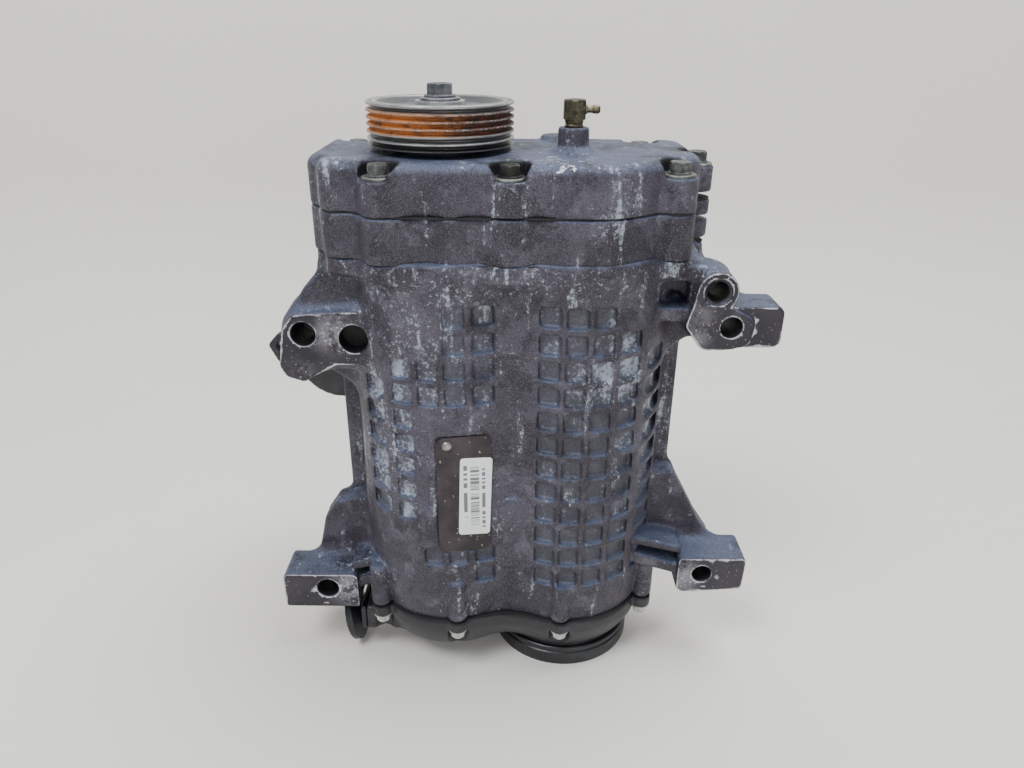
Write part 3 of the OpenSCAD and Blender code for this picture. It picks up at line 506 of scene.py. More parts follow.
def cast_alloy(name, marked=False):
    """Weathered die casting: grey-violet alloy with pits, grime, and white oxide in specks and patches, with
    a painted blue sky reflection on upward faces, painted shade in holes and pockets and a painted glint on
    machined edges.
    """
    material, shader, add, link = paint(name)
    where = add("TexCoord").outputs["Object"]
    broad = noise_of(add, where, 16, 4, 0.6)
    mottle = noise_of(add, where, 75, 6, 0.68)
    grain = noise_of(add, where, 850, 3, 0.65)
    speck = noise_of(add, where, 420, 5, 0.75)
    parts = add("SeparateXYZ", {0: where}).outputs
    facing = add("SeparateXYZ", {0: add("NewGeometry").outputs["Normal"]}).outputs
    runs = noise_of(add, along_z(add, where, 0.16), 140, 4, 0.6)
    colour = mixed(add, ramp_of(add, broad, 0.36, 0.64), (0.030, 0.025, 0.036), (0.074, 0.066, 0.090))
    colour = washed(add, colour, (0.140, 0.130, 0.165), ramp_of(add, mottle, 0.50, 0.72), 0.75)
    colour = washed(add, colour, (0.022, 0.019, 0.026), ramp_of(add, mottle, 0.46, 0.30), 0.7)
    # Painted sky reflection: faces turned upwards are washed pale blue, as a sky would show in them
    sky_sheen = ramp_of(add, facing["Z"], 0.15, 0.85)
    colour = washed(add, colour, (0.085, 0.115, 0.195), sky_sheen, 0.60)
    # Grit: fine dark and pale grains over everything, and broad dark grime
    grit = noise_of(add, where, 1500, 2, 0.6)
    dirt = noise_of(add, where, 34, 5, 0.72)
    colour = washed(add, colour, (0.014, 0.011, 0.017), ramp_of(add, dirt, 0.48, 0.60), 0.74)
    colour = washed(add, colour, (0.25, 0.24, 0.28), ramp_of(add, grit, 0.52, 0.66), 0.26)
    colour = washed(add, colour, (0.012, 0.010, 0.014), ramp_of(add, grit, 0.48, 0.34), 0.60)
    # Oxide bloom: a little everywhere, most under the gear case and down runs
    under_joint = times(add, ramp_of(add, parts["Z"], 0.246, 0.270),
                        ramp_of(add, parts["Z"], 0.2785, 0.2775))
    bloom = plus(add, times(add, under_joint, 0.085), times(add, ramp_of(add, broad, 0.45, 0.70), 0.13))
    bloom = plus(add, bloom, times(add, ramp_of(add, runs, 0.50, 0.72), 0.17))
    if marked:
        hollow = stored(add, "hollow")
        high_right = times(add, ramp_of(add, parts["X"], -0.010, 0.030),
                           ramp_of(add, parts["Z"], 0.150, 0.230))
        damp = plus(add, times(add, ramp_of(add, broad, 0.42, 0.62), 0.10), times(add, high_right, 0.08))
        bloom = plus(add, bloom, times(add, hollow, damp))
        colour = washed(add, colour, (0.150, 0.165, 0.200), hollow, 0.22)
    haze = ramp_of(add, bloom, 0.08, 0.30)
    colour = washed(add, colour, (0.22, 0.24, 0.29), haze, 0.34)
    oxide = ramp_of(add, plus(add, speck, times(add, bloom, 0.92)), 0.64, 0.79)
    colour = washed(add, colour, (0.42, 0.46, 0.53), oxide, 0.78)
    rough = spread(add, mottle, 0.46, 0.72)
    if marked:
        machined = stored(add, "machined")
        rim = stored(add, "rim")
        pale = stored(add, "pale")
        face = mixed(add, ramp_of(add, broad, 0.40, 0.62), (0.016, 0.014, 0.020), (0.034, 0.028, 0.038))
        face = mixed(add, times(add, pale, ramp_of(add, mottle, 0.40, 0.52)), face, (0.19, 0.18, 0.205))
        flecks = plus(add, noise_of(add, where, 620, 4, 0.65), times(add, pale, 0.10))
        face = mixed(add, ramp_of(add, flecks, 0.63, 0.72), face, (0.36, 0.34, 0.38))
        # Pale scratches over the machined faces (wear), and a painted edge glint along their rims and the
        # holes' lips
        scratch_and_edge_glint = plus(add, times(add, mottle, 0.9), times(add, rim, 0.55))
        face = mixed(add, ramp_of(add, scratch_and_edge_glint, 0.78, 0.98), face, (0.52, 0.51, 0.55))
        colour = mixed(add, machined, colour, face)
        rough = add("Mix", {0: times(add, machined, 0.7), 2: rough, 3: 0.36}).outputs[0]
    chipped = plus(add, noise_of(add, where, 260, 4, 0.7), times(add, stored(add, "chips"), 0.22))
    colour = mixed(add, ramp_of(add, chipped, 0.73, 0.76), colour, (0.58, 0.58, 0.61))
    # Painted shade, with some grime in the cover's bolt pockets: near black in deep holes and sunk pockets
    colour = mixed(add, stored(add, "grime"), colour, (0.006, 0.006, 0.007))
    link(colour, shader.inputs["Base Color"])
    link(rough, shader.inputs["Roughness"])
    shader.inputs["Metallic"].default_value = 0.25
    roughened(add, link, shader, mottle, grain, 0.0010, 0.0005, 0.55)
    return material


housing_alloy = cast_alloy("housing_alloy", marked=True)
STEP_FRONT, STEP_REAR = 1.0, 1.7
SPLIT_Y = -3.0
lo = (-150, -60, 40)
x, y, z = samples(lo, (158, SPLIT_Y + 4, 282), STEP_FRONT)
front_piece = skin("housing_front", np.maximum(housing(x, y, z), y - SPLIT_Y), lo, STEP_FRONT,
                   housing_alloy, ease=0.01)
lo = (-150, SPLIT_Y - 4, 40)
x, y, z = samples(lo, (158, 60, 282), STEP_REAR)
rear_piece = skin("housing_rear", np.maximum(housing(x, y, z), SPLIT_Y - y), lo, STEP_REAR, housing_alloy)
for piece in (front_piece, rear_piece):
    worn_marks(piece)
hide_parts("rotor_housing")

# ---- Gear case ---------------------------------------------------------------------------------
# A die-cast ring 25 mm deep round the timing gears, between two thin dark gasket lines.
# It is the housing's alloy with the same flutes, and carries the oil plug at the back.
CASE_LOW, CASE_TOP, PLUG_Z = 278.4, 302.6, 294.5
SIDE_BOSS_X = 98.5  # right of this stands only the side boss, cut into lugs
case_alloy = cast_alloy("case_alloy")
STEP_CASE = 1.2
lo = (-115, -62, 275)
x, y, z = samples(lo, (122, 64, 306), STEP_CASE)
ring = both(case_plan(x, y), slab(z, CASE_LOW, CASE_TOP), 0.7)
for low, high in ((270, 281), (291, 294)):
    ring = carve(ring, both(np.maximum(SIDE_BOSS_X - x, slab(z, low, high)), -8 - y, 0.5), 0.6)
ring = join(ring, both(disc(x, z, HALF, PLUG_Z, 8.0), slab(y, 45, 54.6), 0.7), 2)
case_piece = skin("gear_case_casting", ring, lo, STEP_CASE, case_alloy)
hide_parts("gear_case")

# ---- Top cover ---------------------------------------------------------------------------------
# The lid over the gears: a casting with its top edge rounded, a sunk pocket for each cover bolt,
# the bearing nose that the pulley turns on, and bosses for the breather.
COVER_BOLTS = [(-66, -45.5), (0, -45.5), (88, -31), (-92, 44), (78, 44), (-10, 44), (105, 8)]
BOLT_SEAT = 321.0
COVER_LOW, COVER_TOP = 303.4, 330
BREATHER = (34.0, -7.5)
lo = (-115, -62, 300)
x, y, z = samples(lo, (122, 64, 352), STEP_CASE)
swell = 0.7 * np.exp(-(((x - 30) / 50) ** 2 + ((y + 5) / 30) ** 2)) - 0.7
lid = both(both(case_plan(x, y), z - COVER_TOP - swell, 6.5), COVER_LOW - z, 0.7)
for cx, cy in COVER_BOLTS:
    lid = carve(lid, both(disc(x, y, cx, cy, 10.2), BOLT_SEAT - z, 1.5), 2.2)
    lid = join(lid, both(disc(x, y, cx, cy, 9.6), slab(z, COVER_LOW, BOLT_SEAT), 0.8), 0.5)
lid = join(lid, both(disc(x, y, 27, 42, 9), slab(z, 310, 332.5), 1.5), 3)
lid = join(lid, both(disc(x, y, *BREATHER, 10.5), slab(z, 310, 331.5), 1.5), 5)
lid = join(lid, both(disc(x, y, *BREATHER, 8.4), slab(z, 310, 342.5), 1.0), 2.5)
lid = join(lid, both(disc(x, y, -HALF, 0, 26), slab(z, 310, 348), 1.0), 2)
lid = np.maximum(lid, -np.maximum(disc(x, y, -HALF, 0, 20.5), 331 - z))
lid = np.maximum(lid, -np.maximum(disc(x, y, *BREATHER, 4.3), 331 - z))
lid = carve(lid, np.maximum(np.maximum(SIDE_BOSS_X - x, z - 307), -8 - y), 0.6)
cover_alloy = cast_alloy("cover_alloy")
cover_piece = skin("top_cover_casting", lid, lo, STEP_CASE, cover_alloy)
x, y, z = places_of(cover_piece)
around = np.min([np.hypot(x - cx, y - cy) for cx, cy in COVER_BOLTS], axis=0)
chips = np.exp(-((x - 26) / 15) ** 2 - ((z - 327.5) / 3) ** 2) * (y < -30)
# Painted shade, with some grime, darkens the walls of the sunk bolt pockets round each bolt
sunk = np.clip((COVER_TOP + 0.5 - z) / 2, 0, 1) * np.clip((z - BOLT_SEAT + 1) / 2, 0, 1)
mark(cover_piece, chips=chips, grime=0.8 * sunk * np.clip((12.5 - around) / 2, 0, 1))
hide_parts("top_cover")

# ---- Inlet cover -------------------------------------------------------------------------------
# The black-painted casting that closes the housing's lower end and leads air to both rotors.
# It tapers towards the collar and is bolted up from below.


def black_coat(name, colour, rough, bloom=0.25, coarse=0.0006):
    """Black paint or plastic gone dull, with dust and a few pale scuffs."""
    material, shader, add, link = paint(name)
    where = add("TexCoord").outputs["Object"]
    dust = noise_of(add, where, 60, 5, 0.65)
    grain = noise_of(add, where, 700, 3, 0.6)
    share = times(add, ramp_of(add, dust, 0.45, 0.75), bloom)
    tone = mixed(add, share, colour, (0.09, 0.095, 0.105))
    flecks = ramp_of(add, noise_of(add, where, 380, 4, 0.7), 0.70, 0.78)
    link(washed(add, tone, (0.30, 0.31, 0.33), flecks, 0.5), shader.inputs["Base Color"])
    link(spread(add, dust, rough - 0.08, rough + 0.12), shader.inputs["Roughness"])
    roughened(add, link, shader, dust, grain, coarse, 0.00025, 0.4)
    return material


PIPE_END = (-108.0, -18.0, 18.4)
PIPE_PAD = (-18.0, 27.75, 17, 9.25, 2)  # the pad the pipe bolts to: middle Y and Z, half sizes, corner
INLET_LOW, INLET_TOP = 18, 43.1
lo = (-112, -62, 14)
x, y, z = samples(lo, (106, 62, 47), STEP_CASE)
taper = 7 * np.clip((37 - z) / 17, 0, 1) ** 1.6
rear = both(both(np.abs(x) - 94 + 2 * taper, -3 - y, 2.5), y - 49.5 + taper, 8)
shell = join(lobes(x, y, LOBE_R) + 0.7 + taper, rear, 5)
shell = both(shell, slab(z, INLET_LOW, INLET_TOP), 2.5)
shell = np.maximum(shell, z - INLET_TOP)
shell = join(shell, both(block(y, z, *PIPE_PAD), slab(x, -95, -70), 1), 2)
for cx, cy in INLET_BOLTS:
    shell = join(shell, both(disc(x, y, cx, cy, 6.5), slab(z, 36, INLET_TOP), 0.6), 2.5)
    shell = np.maximum(shell, -np.maximum(disc(x, y, cx, cy, 6.5), z - 36))
hollow = np.minimum(disc(x, y, HALF, 0, 44), disc(x, y, -HALF, 0, 44))
shell = np.maximum(shell, -np.maximum(hollow, 22 - z))
shell = np.maximum(shell, -disc(x, y, HALF, 0, 41))
inlet_black = black_coat("inlet_black", (0.012, 0.012, 0.015), 0.42)
inlet_piece = skin("inlet_cover_casting", shell, lo, STEP_CASE, inlet_black)
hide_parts("inlet_cover")

# ---- Inlet collar ------------------------------------------------------------------------------
# A moulded black ring pressed into the inlet cover. The air hose clamps over its rim, and a
# groove runs round it just above the rim.


def turned(profile, segments, across=0.0):
    """A profile of (radius, height) carried round the Z axis, closed on itself. Where across is more
    than 0, no point stands further out than a hexagon that wide across its flats."""
    rows = np.array(profile, dtype=float)
    angle = np.linspace(0, 2 * math.pi, segments, endpoint=False)
    radius = np.repeat(rows[:, :1], segments, axis=1)
    if across:
        sixth = np.mod(angle + math.pi / 6, math.pi / 3) - math.pi / 6
        radius = np.minimum(radius, across / 2 / np.cos(sixth)[None, :])
    place = np.stack([radius * np.cos(angle), radius * np.sin(angle),
                      np.repeat(rows[:, 1:2], segments, axis=1)], axis=-1).reshape(-1, 3)
    row, column = np.meshgrid(np.arange(len(rows)), np.arange(segments), indexing="ij")
    after, beside = (row + 1) % len(rows), (column + 1) % segments
    faces = np.stack([row * segments + column, row * segments + beside,
                      after * segments + beside, after * segments + column], axis=-1).reshape(-1, 4)
    return place, faces


def eased(profile, r):
    """The closed profile with each corner cut back by r, or a third of its shorter side, and bowed."""
    points = np.array(profile, dtype=float)
    before, after = np.roll(points, 1, axis=0) - points, np.roll(points, -1, axis=0) - points
    long_before, long_after = np.linalg.norm(before, axis=1), np.linalg.norm(after, axis=1)
    cut = np.minimum(r, np.minimum(long_before, long_after) / 3)
    start = points + before * (cut / long_before)[:, None]
    end = points + after * (cut / long_after)[:, None]
    t = np.linspace(0, 1, 4)[None, :, None]
    bowed = (1 - t) ** 2 * start[:, None] + 2 * t * (1 - t) * points[:, None] + t ** 2 * end[:, None]
    return bowed.reshape(-1, 2)


def copied(place, faces, spots):
    """The same shape at each of the spots, as one set of points and faces."""
    spots = np.array(spots, dtype=float)
    points = (place[None] + spots[:, None]).reshape(-1, 3)
    jump = len(place) * np.arange(len(spots))[:, None, None]
    return points, (faces[None] + jump).reshape(-1, faces.shape[1])


def turned_piece(name, profile, spots, material, body, r=0.4, across=0.0, segments=96, sections=()):
    """Turned shapes at each spot in the casing's middle frame, as one piece."""
    points, quads = [], []
    count = 0
    for shape, flats in [(profile, across), *sections]:
        place, faces = copied(*turned(eased(shape, r), segments, flats), spots)
        points.append(place)
        quads.append(faces + count)
        count += len(place)
    points = (np.concatenate(points) + (MID_X, 0, 0)) / 1000
    return mesh_piece(name, points, [np.concatenate(quads)], material, body, crease=35)


AT_FEMALE, AT_MALE = (HALF, 0, 0), (-HALF, 0, 0)
collar_black = black_coat("collar_black", (0.008, 0.008, 0.010), 0.30, 0.15, 0.0002)
collar_profile = [(38, 0), (47, 0), (47, 9), (45.8, 9.6), (45.8, 11), (47, 11.6), (47, 13.6), (46, 14.3),
                  (44, 14.3), (44, 18), (40.9, 18), (40.9, 24), (38, 24)]
collar_piece = turned_piece("inlet_collar_ring", collar_profile, [AT_FEMALE], collar_black, "casing",
                            segments=192)
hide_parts("inlet_collar")

# ---- Bypass pipe -------------------------------------------------------------------------------
# A moulded black mouth that faces out and a little down under the lower left ear. Its square
# flange seats on the inlet cover's pad, and the spigot behind it enters the cover.
TILT = math.radians(12)
PIPE_R = 18.5
lo = (-118, -42, -3)
x, y, z = samples(lo, (-68, 6, 42), 0.8)
out = -(x - PIPE_END[0]) * math.cos(TILT) - (z - PIPE_END[2]) * math.sin(TILT)
side = (z - PIPE_END[2]) * math.cos(TILT) - (x - PIPE_END[0]) * math.sin(TILT)
radial = np.hypot(side, y - PIPE_END[1])
pipe = both(radial - PIPE_R, slab(out, -4.5, 0), 0.8)
pipe = join(pipe, both(radial - (10 + 8.5 * np.clip((out + 9.5) / 5, 0, 1)), slab(out, -9.5, -4), 0.4), 1)
pipe = join(pipe, both(block(y, z, *PIPE_PAD), slab(x, -98.5, -95), 0.6), 1.5)
pipe = np.minimum(pipe, both(block(y, z, PIPE_END[1], 26.65, 9, 4.35, 1), slab(x, -96, -76), 0.4))
mouth = np.maximum(radial - (8.5 + 7 * np.clip((out + 9) / 5, 0, 1)), -out - 9)
pipe = carve(pipe, mouth, 0.5)
pipe = np.maximum(pipe, -np.maximum(block(y, z, PIPE_END[1], 26.5, 6, 2, 0.2), -102 - x))
pipe = np.maximum(pipe, -disc(x, y, -HALF, 0, 44))
pipe_black = black_coat("pipe_black", (0.009, 0.009, 0.012), 0.36, 0.2, 0.0003)
pipe_piece = skin("bypass_pipe_moulding", pipe, lo, 0.8, pipe_black)
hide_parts("bypass_pipe")

# ---- Discharge duct ----------------------------------------------------------------------------
# A black cast duct at the back: a flange on the port's pad, a flat box that runs left and turns
# down, and a round collar that opens backwards, with a small lug on its left edge.
DUCT_AT, DUCT_R, DUCT_BORE_R = (-116, 184), 32, 28
DUCT_FRONT, DUCT_FLANGE, DUCT_BACK, COLLAR_FRONT = 56.8, 63.8, 88, 50.8
lo = (-170, 46, 146)
x, y, z = samples(lo, (54, 100, 272), 1.5)
duct = both(block(x, z, 0, 233.75, 48, 32.75, 4), slab(y, DUCT_FRONT, DUCT_FLANGE), 1)
duct = join(duct, both(block(x, z, -40, 234, 72, 20, 3), slab(y, DUCT_FRONT, DUCT_BACK), 3), 4)
duct = join(duct, both(block(x, z, -98, 217, 14, 33, 3), slab(y, DUCT_FRONT, DUCT_BACK), 3), 4)
duct = join(duct, both(disc(x, z, *DUCT_AT, DUCT_R), slab(y, COLLAR_FRONT, 95), 1.2), 4)
lug = outline(x, z, [(-140, 202), (-158, 195.8), (-162.8, 190.6), (-158.4, 181), (-140, 169)], 3)
duct = join(duct, both(lug, slab(y, COLLAR_FRONT, COLLAR_FRONT + 8), 1), 2)
duct = np.maximum(duct, -both(disc(x, z, *DUCT_AT, DUCT_BORE_R), COLLAR_FRONT + 5 - y, 2))
duct = np.maximum(duct, -both(block(x, z, -40, 234, 67, 15, 1), slab(y, DUCT_FRONT + 6, 82), 1))
duct = np.maximum(duct, -both(block(x, z, -98, 216, 9, 32, 1), slab(y, DUCT_FRONT + 6, 82), 1))
duct = np.maximum(duct, -np.maximum(block(x, z, *PORT), y - 66))
duct = np.maximum(duct, -disc(x, z, -156.5, 190, 3.3))
for cx, cz in [(-40, 207.4), (40, 207.4), (-40, 260.4), (40, 260.4)]:
    duct = np.maximum(duct, -np.maximum(disc(x, z, cx, cz, 6.5), DUCT_FLANGE - y))
# In front of the flange only the collar and its lug stand
besides = np.minimum(disc(x, z, *DUCT_AT, DUCT_R + 0.1), x + 136)
duct = np.maximum(duct, np.minimum(DUCT_FRONT - y, besides))
duct_black = black_coat("duct_black", (0.010, 0.010, 0.013), 0.45, 0.3)
duct_piece = skin("discharge_duct_casting", duct, lo, 1.5, duct_black)
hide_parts("discharge_duct")

# ---- Gaskets -----------------------------------------------------------------------------------
# Thin black composition gaskets in the four joints, a little inside the castings' edges.
gasket_black, shader, add, link = paint("gasket_black", 0.8)
fibre = noise_of(add, add("TexCoord").outputs["Object"], 400, 3)
link(mixed(add, fibre, (0.006, 0.006, 0.007), (0.02, 0.019, 0.02)), shader.inputs["Base Color"])


def coat(material, *nodes):
    """Gives the CAD nodes this material in place of their plain one."""
    for node in nodes:
        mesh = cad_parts[node].data
        mesh.materials.clear()
        mesh.materials.append(material)


coat(gasket_black, "cover_gasket", "case_gasket", "inlet_gasket", "discharge_gasket")

# ---- Cover bolts and washers -------------------------------------------------------------------
# Seven M6 hex bolts in the cover's pockets on pressed steel washers. The plating has gone to a
# speckled grey, and the middle bolt is black with oil.


def weathered_steel(name, dark, light, metal=0.6, rough=0.45, oxide=0.4, scale=420, oily_x=None):
    """Plated steel gone dull: two tones with specks of white oxide, and black with oil near oily_x."""
    material, shader, add, link = paint(name, rough, metal)
    where = add("TexCoord").outputs["Object"]
    blotch = noise_of(add, where, scale / 3, 5, 0.7)
    speck = noise_of(add, where, scale * 2, 4, 0.7)
    tone = mixed(add, ramp_of(add, blotch, 0.35, 0.65), dark, light)
    white = times(add, ramp_of(add, speck, 0.58, 0.70), oxide)
    colour = mixed(add, white, tone, (0.5, 0.5, 0.48))
    if oily_x is not None:
        off = calc(add, "SUBTRACT", add("SeparateXYZ", {0: where}).outputs["X"], oily_x)
        off = calc(add, "ABSOLUTE", off, 0)
        colour = washed(add, colour, (0.012, 0.011, 0.009), ramp_of(add, off, 0.012, 0.009), 0.85)
    link(colour, shader.inputs["Base Color"])
    link(spread(add, blotch, rough - 0.12, rough + 0.2), shader.inputs["Roughness"])
    roughened(add, link, shader, blotch, speck, 0.0004, 0.00015, 0.5)
    return material


def hex_head(low, high, across, shank_r, shank_end, flange):
    """Sections of a bolt: a hex head with a chamfered crown, a flange under it, and the shank."""
    r = across / 2
    head = [(0.01, low), (r * 1.3, low), (r * 1.3, high - 0.9), (r * 0.96, high), (r * 0.55, high),
            (r * 0.5, high - 0.3), (0.01, high - 0.3)]
    wide, thick = flange
    rim = [(0.01, low - thick), (wide, low - thick), (wide, low - 0.2), (r, low + 0.3), (0.01, low + 0.3)]
    shank = [(0.01, shank_end), (shank_r, shank_end), (shank_r, low + 0.2), (0.01, low + 0.2)]
    return [(head, across), (rim, 0), (shank, 0)]


bolt_steel = weathered_steel("bolt_olive", (0.042, 0.043, 0.042), (0.165, 0.166, 0.160), 0.55, 0.5, 0.6,
                             oily_x=MID_X / 1000)
spots = [(cx, cy, 0) for cx, cy in COVER_BOLTS]
(shape, flats), *rest = hex_head(BOLT_SEAT + 2.4, 328.6, 10, 3.0, 269.0, (6.4, 0.8))
bolts_piece = turned_piece("cover_bolt_set", shape, spots, bolt_steel, "casing", 0.3, flats, 48, rest)
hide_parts("cover_bolts")
washer_steel = weathered_steel("washer_steel", (0.07, 0.075, 0.07), (0.22, 0.23, 0.21), 0.6, 0.42, 0.5)
washer_profile = [(3.2, 321), (8.8, 321), (8.8, 322.0), (8.2, 322.6), (3.2, 322.6)]
washers_piece = turned_piece("cover_washer_set", washer_profile, spots, washer_steel, "casing", 0.3, 0, 64)
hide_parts("cover_bolt_washers")

# ---- Inlet and discharge bolts -----------------------------------------------------------------
# Bright zinc M6 flange bolts: six up through the inlet cover and four through the duct's flange.
zinc = weathered_steel("zinc_plate", (0.34, 0.34, 0.31), (0.62, 0.61, 0.57), 0.55, 0.38, 0.5)
head = [(0.01, 34.6), (5.2, 34.6), (5.2, 31.0), (3.9, 30.0), (0.01, 30.0)]
flange = [(0.01, 36), (6, 36), (6, 34.9), (4.6, 34.2), (0.01, 34.2)]
shank = [(0.01, 63), (3, 63), (3, 35), (0.01, 35)]
spots = [(cx, cy, 0) for cx, cy in INLET_BOLTS]
inlet_bolts_piece = turned_piece("inlet_bolt_set", head[::-1], spots, zinc, "casing", 0.3, 8, 48,
                                 [(flange[::-1], 0), (shank[::-1], 0)])
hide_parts("inlet_cover_bolts")
coat(zinc, "discharge_bolts", "dowel_pins")

# ---- Data plate and label ----------------------------------------------------------------------
# A dark anodised plate riveted into the recess by its upper left corner, carrying a white paper
# label. The label's print is plain bars and dashes that say nothing.


def rounded_plate(name, cx, cz, wide, tall, r, near, far, material, lean=0.0):
    """A flat plate with corners of radius r in the plate's own frame, from depth near to depth far.
    Its outline is four quarter circles, and each face is the outline drawn in to a middle point."""
    corner = np.linspace(0, math.pi / 2, 7)
    angle = np.concatenate([corner + k * math.pi / 2 for k in range(4)])
    sx = np.repeat([1, -1, -1, 1], 7) * (wide / 2 - r)
    sz = np.repeat([1, 1, -1, -1], 7) * (tall / 2 - r)
    u, w = sx + r * np.cos(angle), sz + r * np.sin(angle)
    edge = 0.12
    rings = [(0, far), (1, far), (1, near + edge), (1 - edge / wide * 2, near), (0, near)]
    u, w = u * math.cos(lean) + w * math.sin(lean), w * math.cos(lean) - u * math.sin(lean)
    points = np.array([(cx + k * a, depth, cz + k * b) for k, depth in rings for a, b in zip(u, w)])
    n = len(angle)
    row, column = np.meshgrid(np.arange(len(rings) - 1), np.arange(n), indexing="ij")
    beside = (column + 1) % n
    faces = np.stack([row * n + column, row * n + beside, (row + 1) * n + beside, (row + 1) * n + column],
                     -1).reshape(-1, 4)
    c, s = math.cos(PLATE_TURN), math.sin(PLATE_TURN)
    place = np.stack([MID_X + PLATE_FOOT[0] + points[:, 0] * c - points[:, 1] * s,
                      PLATE_FOOT[1] + points[:, 0] * s + points[:, 1] * c, points[:, 2]], -1) / 1000
    return mesh_piece(name, place, [faces], material, "casing", crease=30)


plate_dark, shader, add, link = paint("plate_dark", 0.38, 0.35)
where = add("TexCoord").outputs["Object"]
tone = mixed(add, ramp_of(add, noise_of(add, where, 60, 4), 0.4, 0.65), (0.020, 0.015, 0.018),
             (0.045, 0.032, 0.040))
nicks = ramp_of(add, noise_of(add, along_z(add, where, 0.45), 520, 3, 0.6), 0.67, 0.70)
link(mixed(add, nicks, tone, (0.60, 0.58, 0.58)), shader.inputs["Base Color"])
roughened(add, link, shader, noise_of(add, where, 90), noise_of(add, where, 900), 0.0003, 0.0001, 0.4)
plate_piece = rounded_plate("data_plate", 0, 137.8, 32, 79.6, 4.5, -1.0, 0.0, plate_dark)
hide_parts("id_plate")

label_paper, shader, add, link = paint("label_paper", 0.5)
parts = add("SeparateXYZ", {0: add("TexCoord").outputs["Object"]}).outputs
# The label's own across and along, in millimetres from its middle
across = calc(add, "SUBTRACT", times(add, parts["X"], 1000), MID_X + PLATE_FOOT[0] + 6.4)
along = calc(add, "SUBTRACT", times(add, parts["Z"], 1000), 136.5)


def band(add, value, low, high):
    """1 where value lies between low and high."""
    return times(add, calc(add, "GREATER_THAN", value, low), calc(add, "LESS_THAN", value, high))


def bars(add, value, pitch, share):
    """Random dark strips across value, each pitch wide, over about that share of it."""
    cell = calc(add, "FLOOR", calc(add, "DIVIDE", value, pitch), 0)
    random = add("TexWhiteNoise", {"W": cell}, noise_dimensions="1D").outputs["Value"]
    return calc(add, "LESS_THAN", random, share)


def strip_of_print(add, marks, wide, tall):
    """Random bars, given by pitch and share, within the stretch wide across and tall along."""
    field = times(add, band(add, across, *wide), band(add, along, *tall))
    return times(add, bars(add, along, *marks), field)


code = strip_of_print(add, (0.45, 0.5), (-2.6, 2.6), (-20, 21))
dashes = strip_of_print(add, (1.3, 0.62), (4.2, 6.2), (-22, 20))
more = strip_of_print(add, (1.7, 0.6), (-6.6, -4.4), (-14, 22))
ink = calc(add, "MAXIMUM", code, calc(add, "MAXIMUM", dashes, more))
paper = mixed(add, noise_of(add, add("TexCoord").outputs["Object"], 200, 3), (0.74, 0.78, 0.77),
              (0.84, 0.86, 0.85))
link(washed(add, paper, (0.045, 0.05, 0.06), ink, 0.86), shader.inputs["Base Color"])
label_piece = rounded_plate("paper_label", 6.5, 136.5, 19, 53.4, 2.0, -1.25, -1.0, label_paper,
                            math.radians(2))
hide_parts("label")
coat(weathered_steel("rivet_steel", (0.20, 0.19, 0.17), (0.45, 0.43, 0.38), 0.7, 0.4, 0.3), "plate_rivet")

# ---- Breather ----------------------------------------------------------------------------------
# A brass elbow screwed into the cover's boss, with a small hose barb to the right. The brass has
# tarnished to a dark olive.
brass = weathered_steel("tarnished_brass", (0.030, 0.027, 0.018), (0.12, 0.105, 0.065), 0.7, 0.42, 0.35,
                        scale=500)
at_breather = [(*BREATHER, 0)]
body_profile = [(0.01, 346.5), (7, 346.5), (7, 355.6), (5.4, 356.5), (3.6, 356.5), (3.4, 356.2),
                (0.01, 356.2)]
stem_profile = [(0.01, 320), (4, 320), (4, 342.4), (5, 342.6), (5, 343.6), (4.5, 344.2), (5, 344.8),
                (5, 346.8), (0.01, 346.8)]
breather_piece = turned_piece("breather_elbow", body_profile, at_breather, brass, "casing", 0.35, 11.5, 96,
                              [(stem_profile, 0)])
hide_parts("breather_body")
barb_profile = [(0.01, 5.6), (2.6, 5.6), (2.6, 6.6), (1.9, 7), (1.9, 9.6), (2.3, 10), (2.3, 12.6),
                (1.6, 13.6), (1.2, 13.6), (1.2, 12.8), (0.01, 12.8)]
barb, faces = turned(eased(barb_profile, 0.2), 48)
barb = np.stack([barb[:, 2] + BREATHER[0] + MID_X, barb[:, 1] + BREATHER[1], 351.5 - barb[:, 0]], -1) / 1000
barb_brass = weathered_steel("barb_brass", (0.10, 0.08, 0.045), (0.33, 0.28, 0.18), 0.8, 0.35, 0.2)
barb_piece = mesh_piece("breather_barb_nozzle", barb, [faces], barb_brass, "casing", 35)
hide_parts("breather_barb")

# ---- Oil plug ----------------------------------------------------------------------------------
# A zinc-plated hex plug in the gear case's rear boss, sealed by a copper washer.
coat(zinc, "oil_plug")
copper = weathered_steel("copper", (0.35, 0.13, 0.06), (0.62, 0.28, 0.16), 0.9, 0.35, 0.1)
coat(copper, "oil_plug_washer")

# ---- Belt pulley -------------------------------------------------------------------------------
# A spun and turned steel pulley with six V ribs on a plain rim, dished in front. The middle
# grooves are rusted orange to red-brown, and the rim and the lowest ribs are steel, with painted shade down
# in the grooves and a black painted shadow at the foot.
RIB_PITCH, RIB_DEEP, PULLEY_R, PULLEY_LOW, PULLEY_TOP = 3.56, 2.5, 40.0, 332.8, 355.16
ribs = []
for i in range(5, -1, -1):
    middle = PULLEY_LOW + (i + 0.5) * RIB_PITCH
    ribs += [(PULLEY_R, middle + 1.42), (PULLEY_R - RIB_DEEP, middle + 0.4),
             (PULLEY_R - RIB_DEEP, middle - 0.4), (PULLEY_R, middle - 1.42)]
inside = [(33, PULLEY_LOW), (33, 349), (12, 349), (12, 342), (8.45, 342), (8.45, 353), (4.2, 353), (4.2, 355)]
dished = [(13.5, 355), (13.9, 352.6), (29.5, 352.0), (33.8, 354.4), (34.6, PULLEY_TOP)]
rim = [(PULLEY_R - 0.4, PULLEY_TOP), (PULLEY_R, PULLEY_TOP - 0.5)]
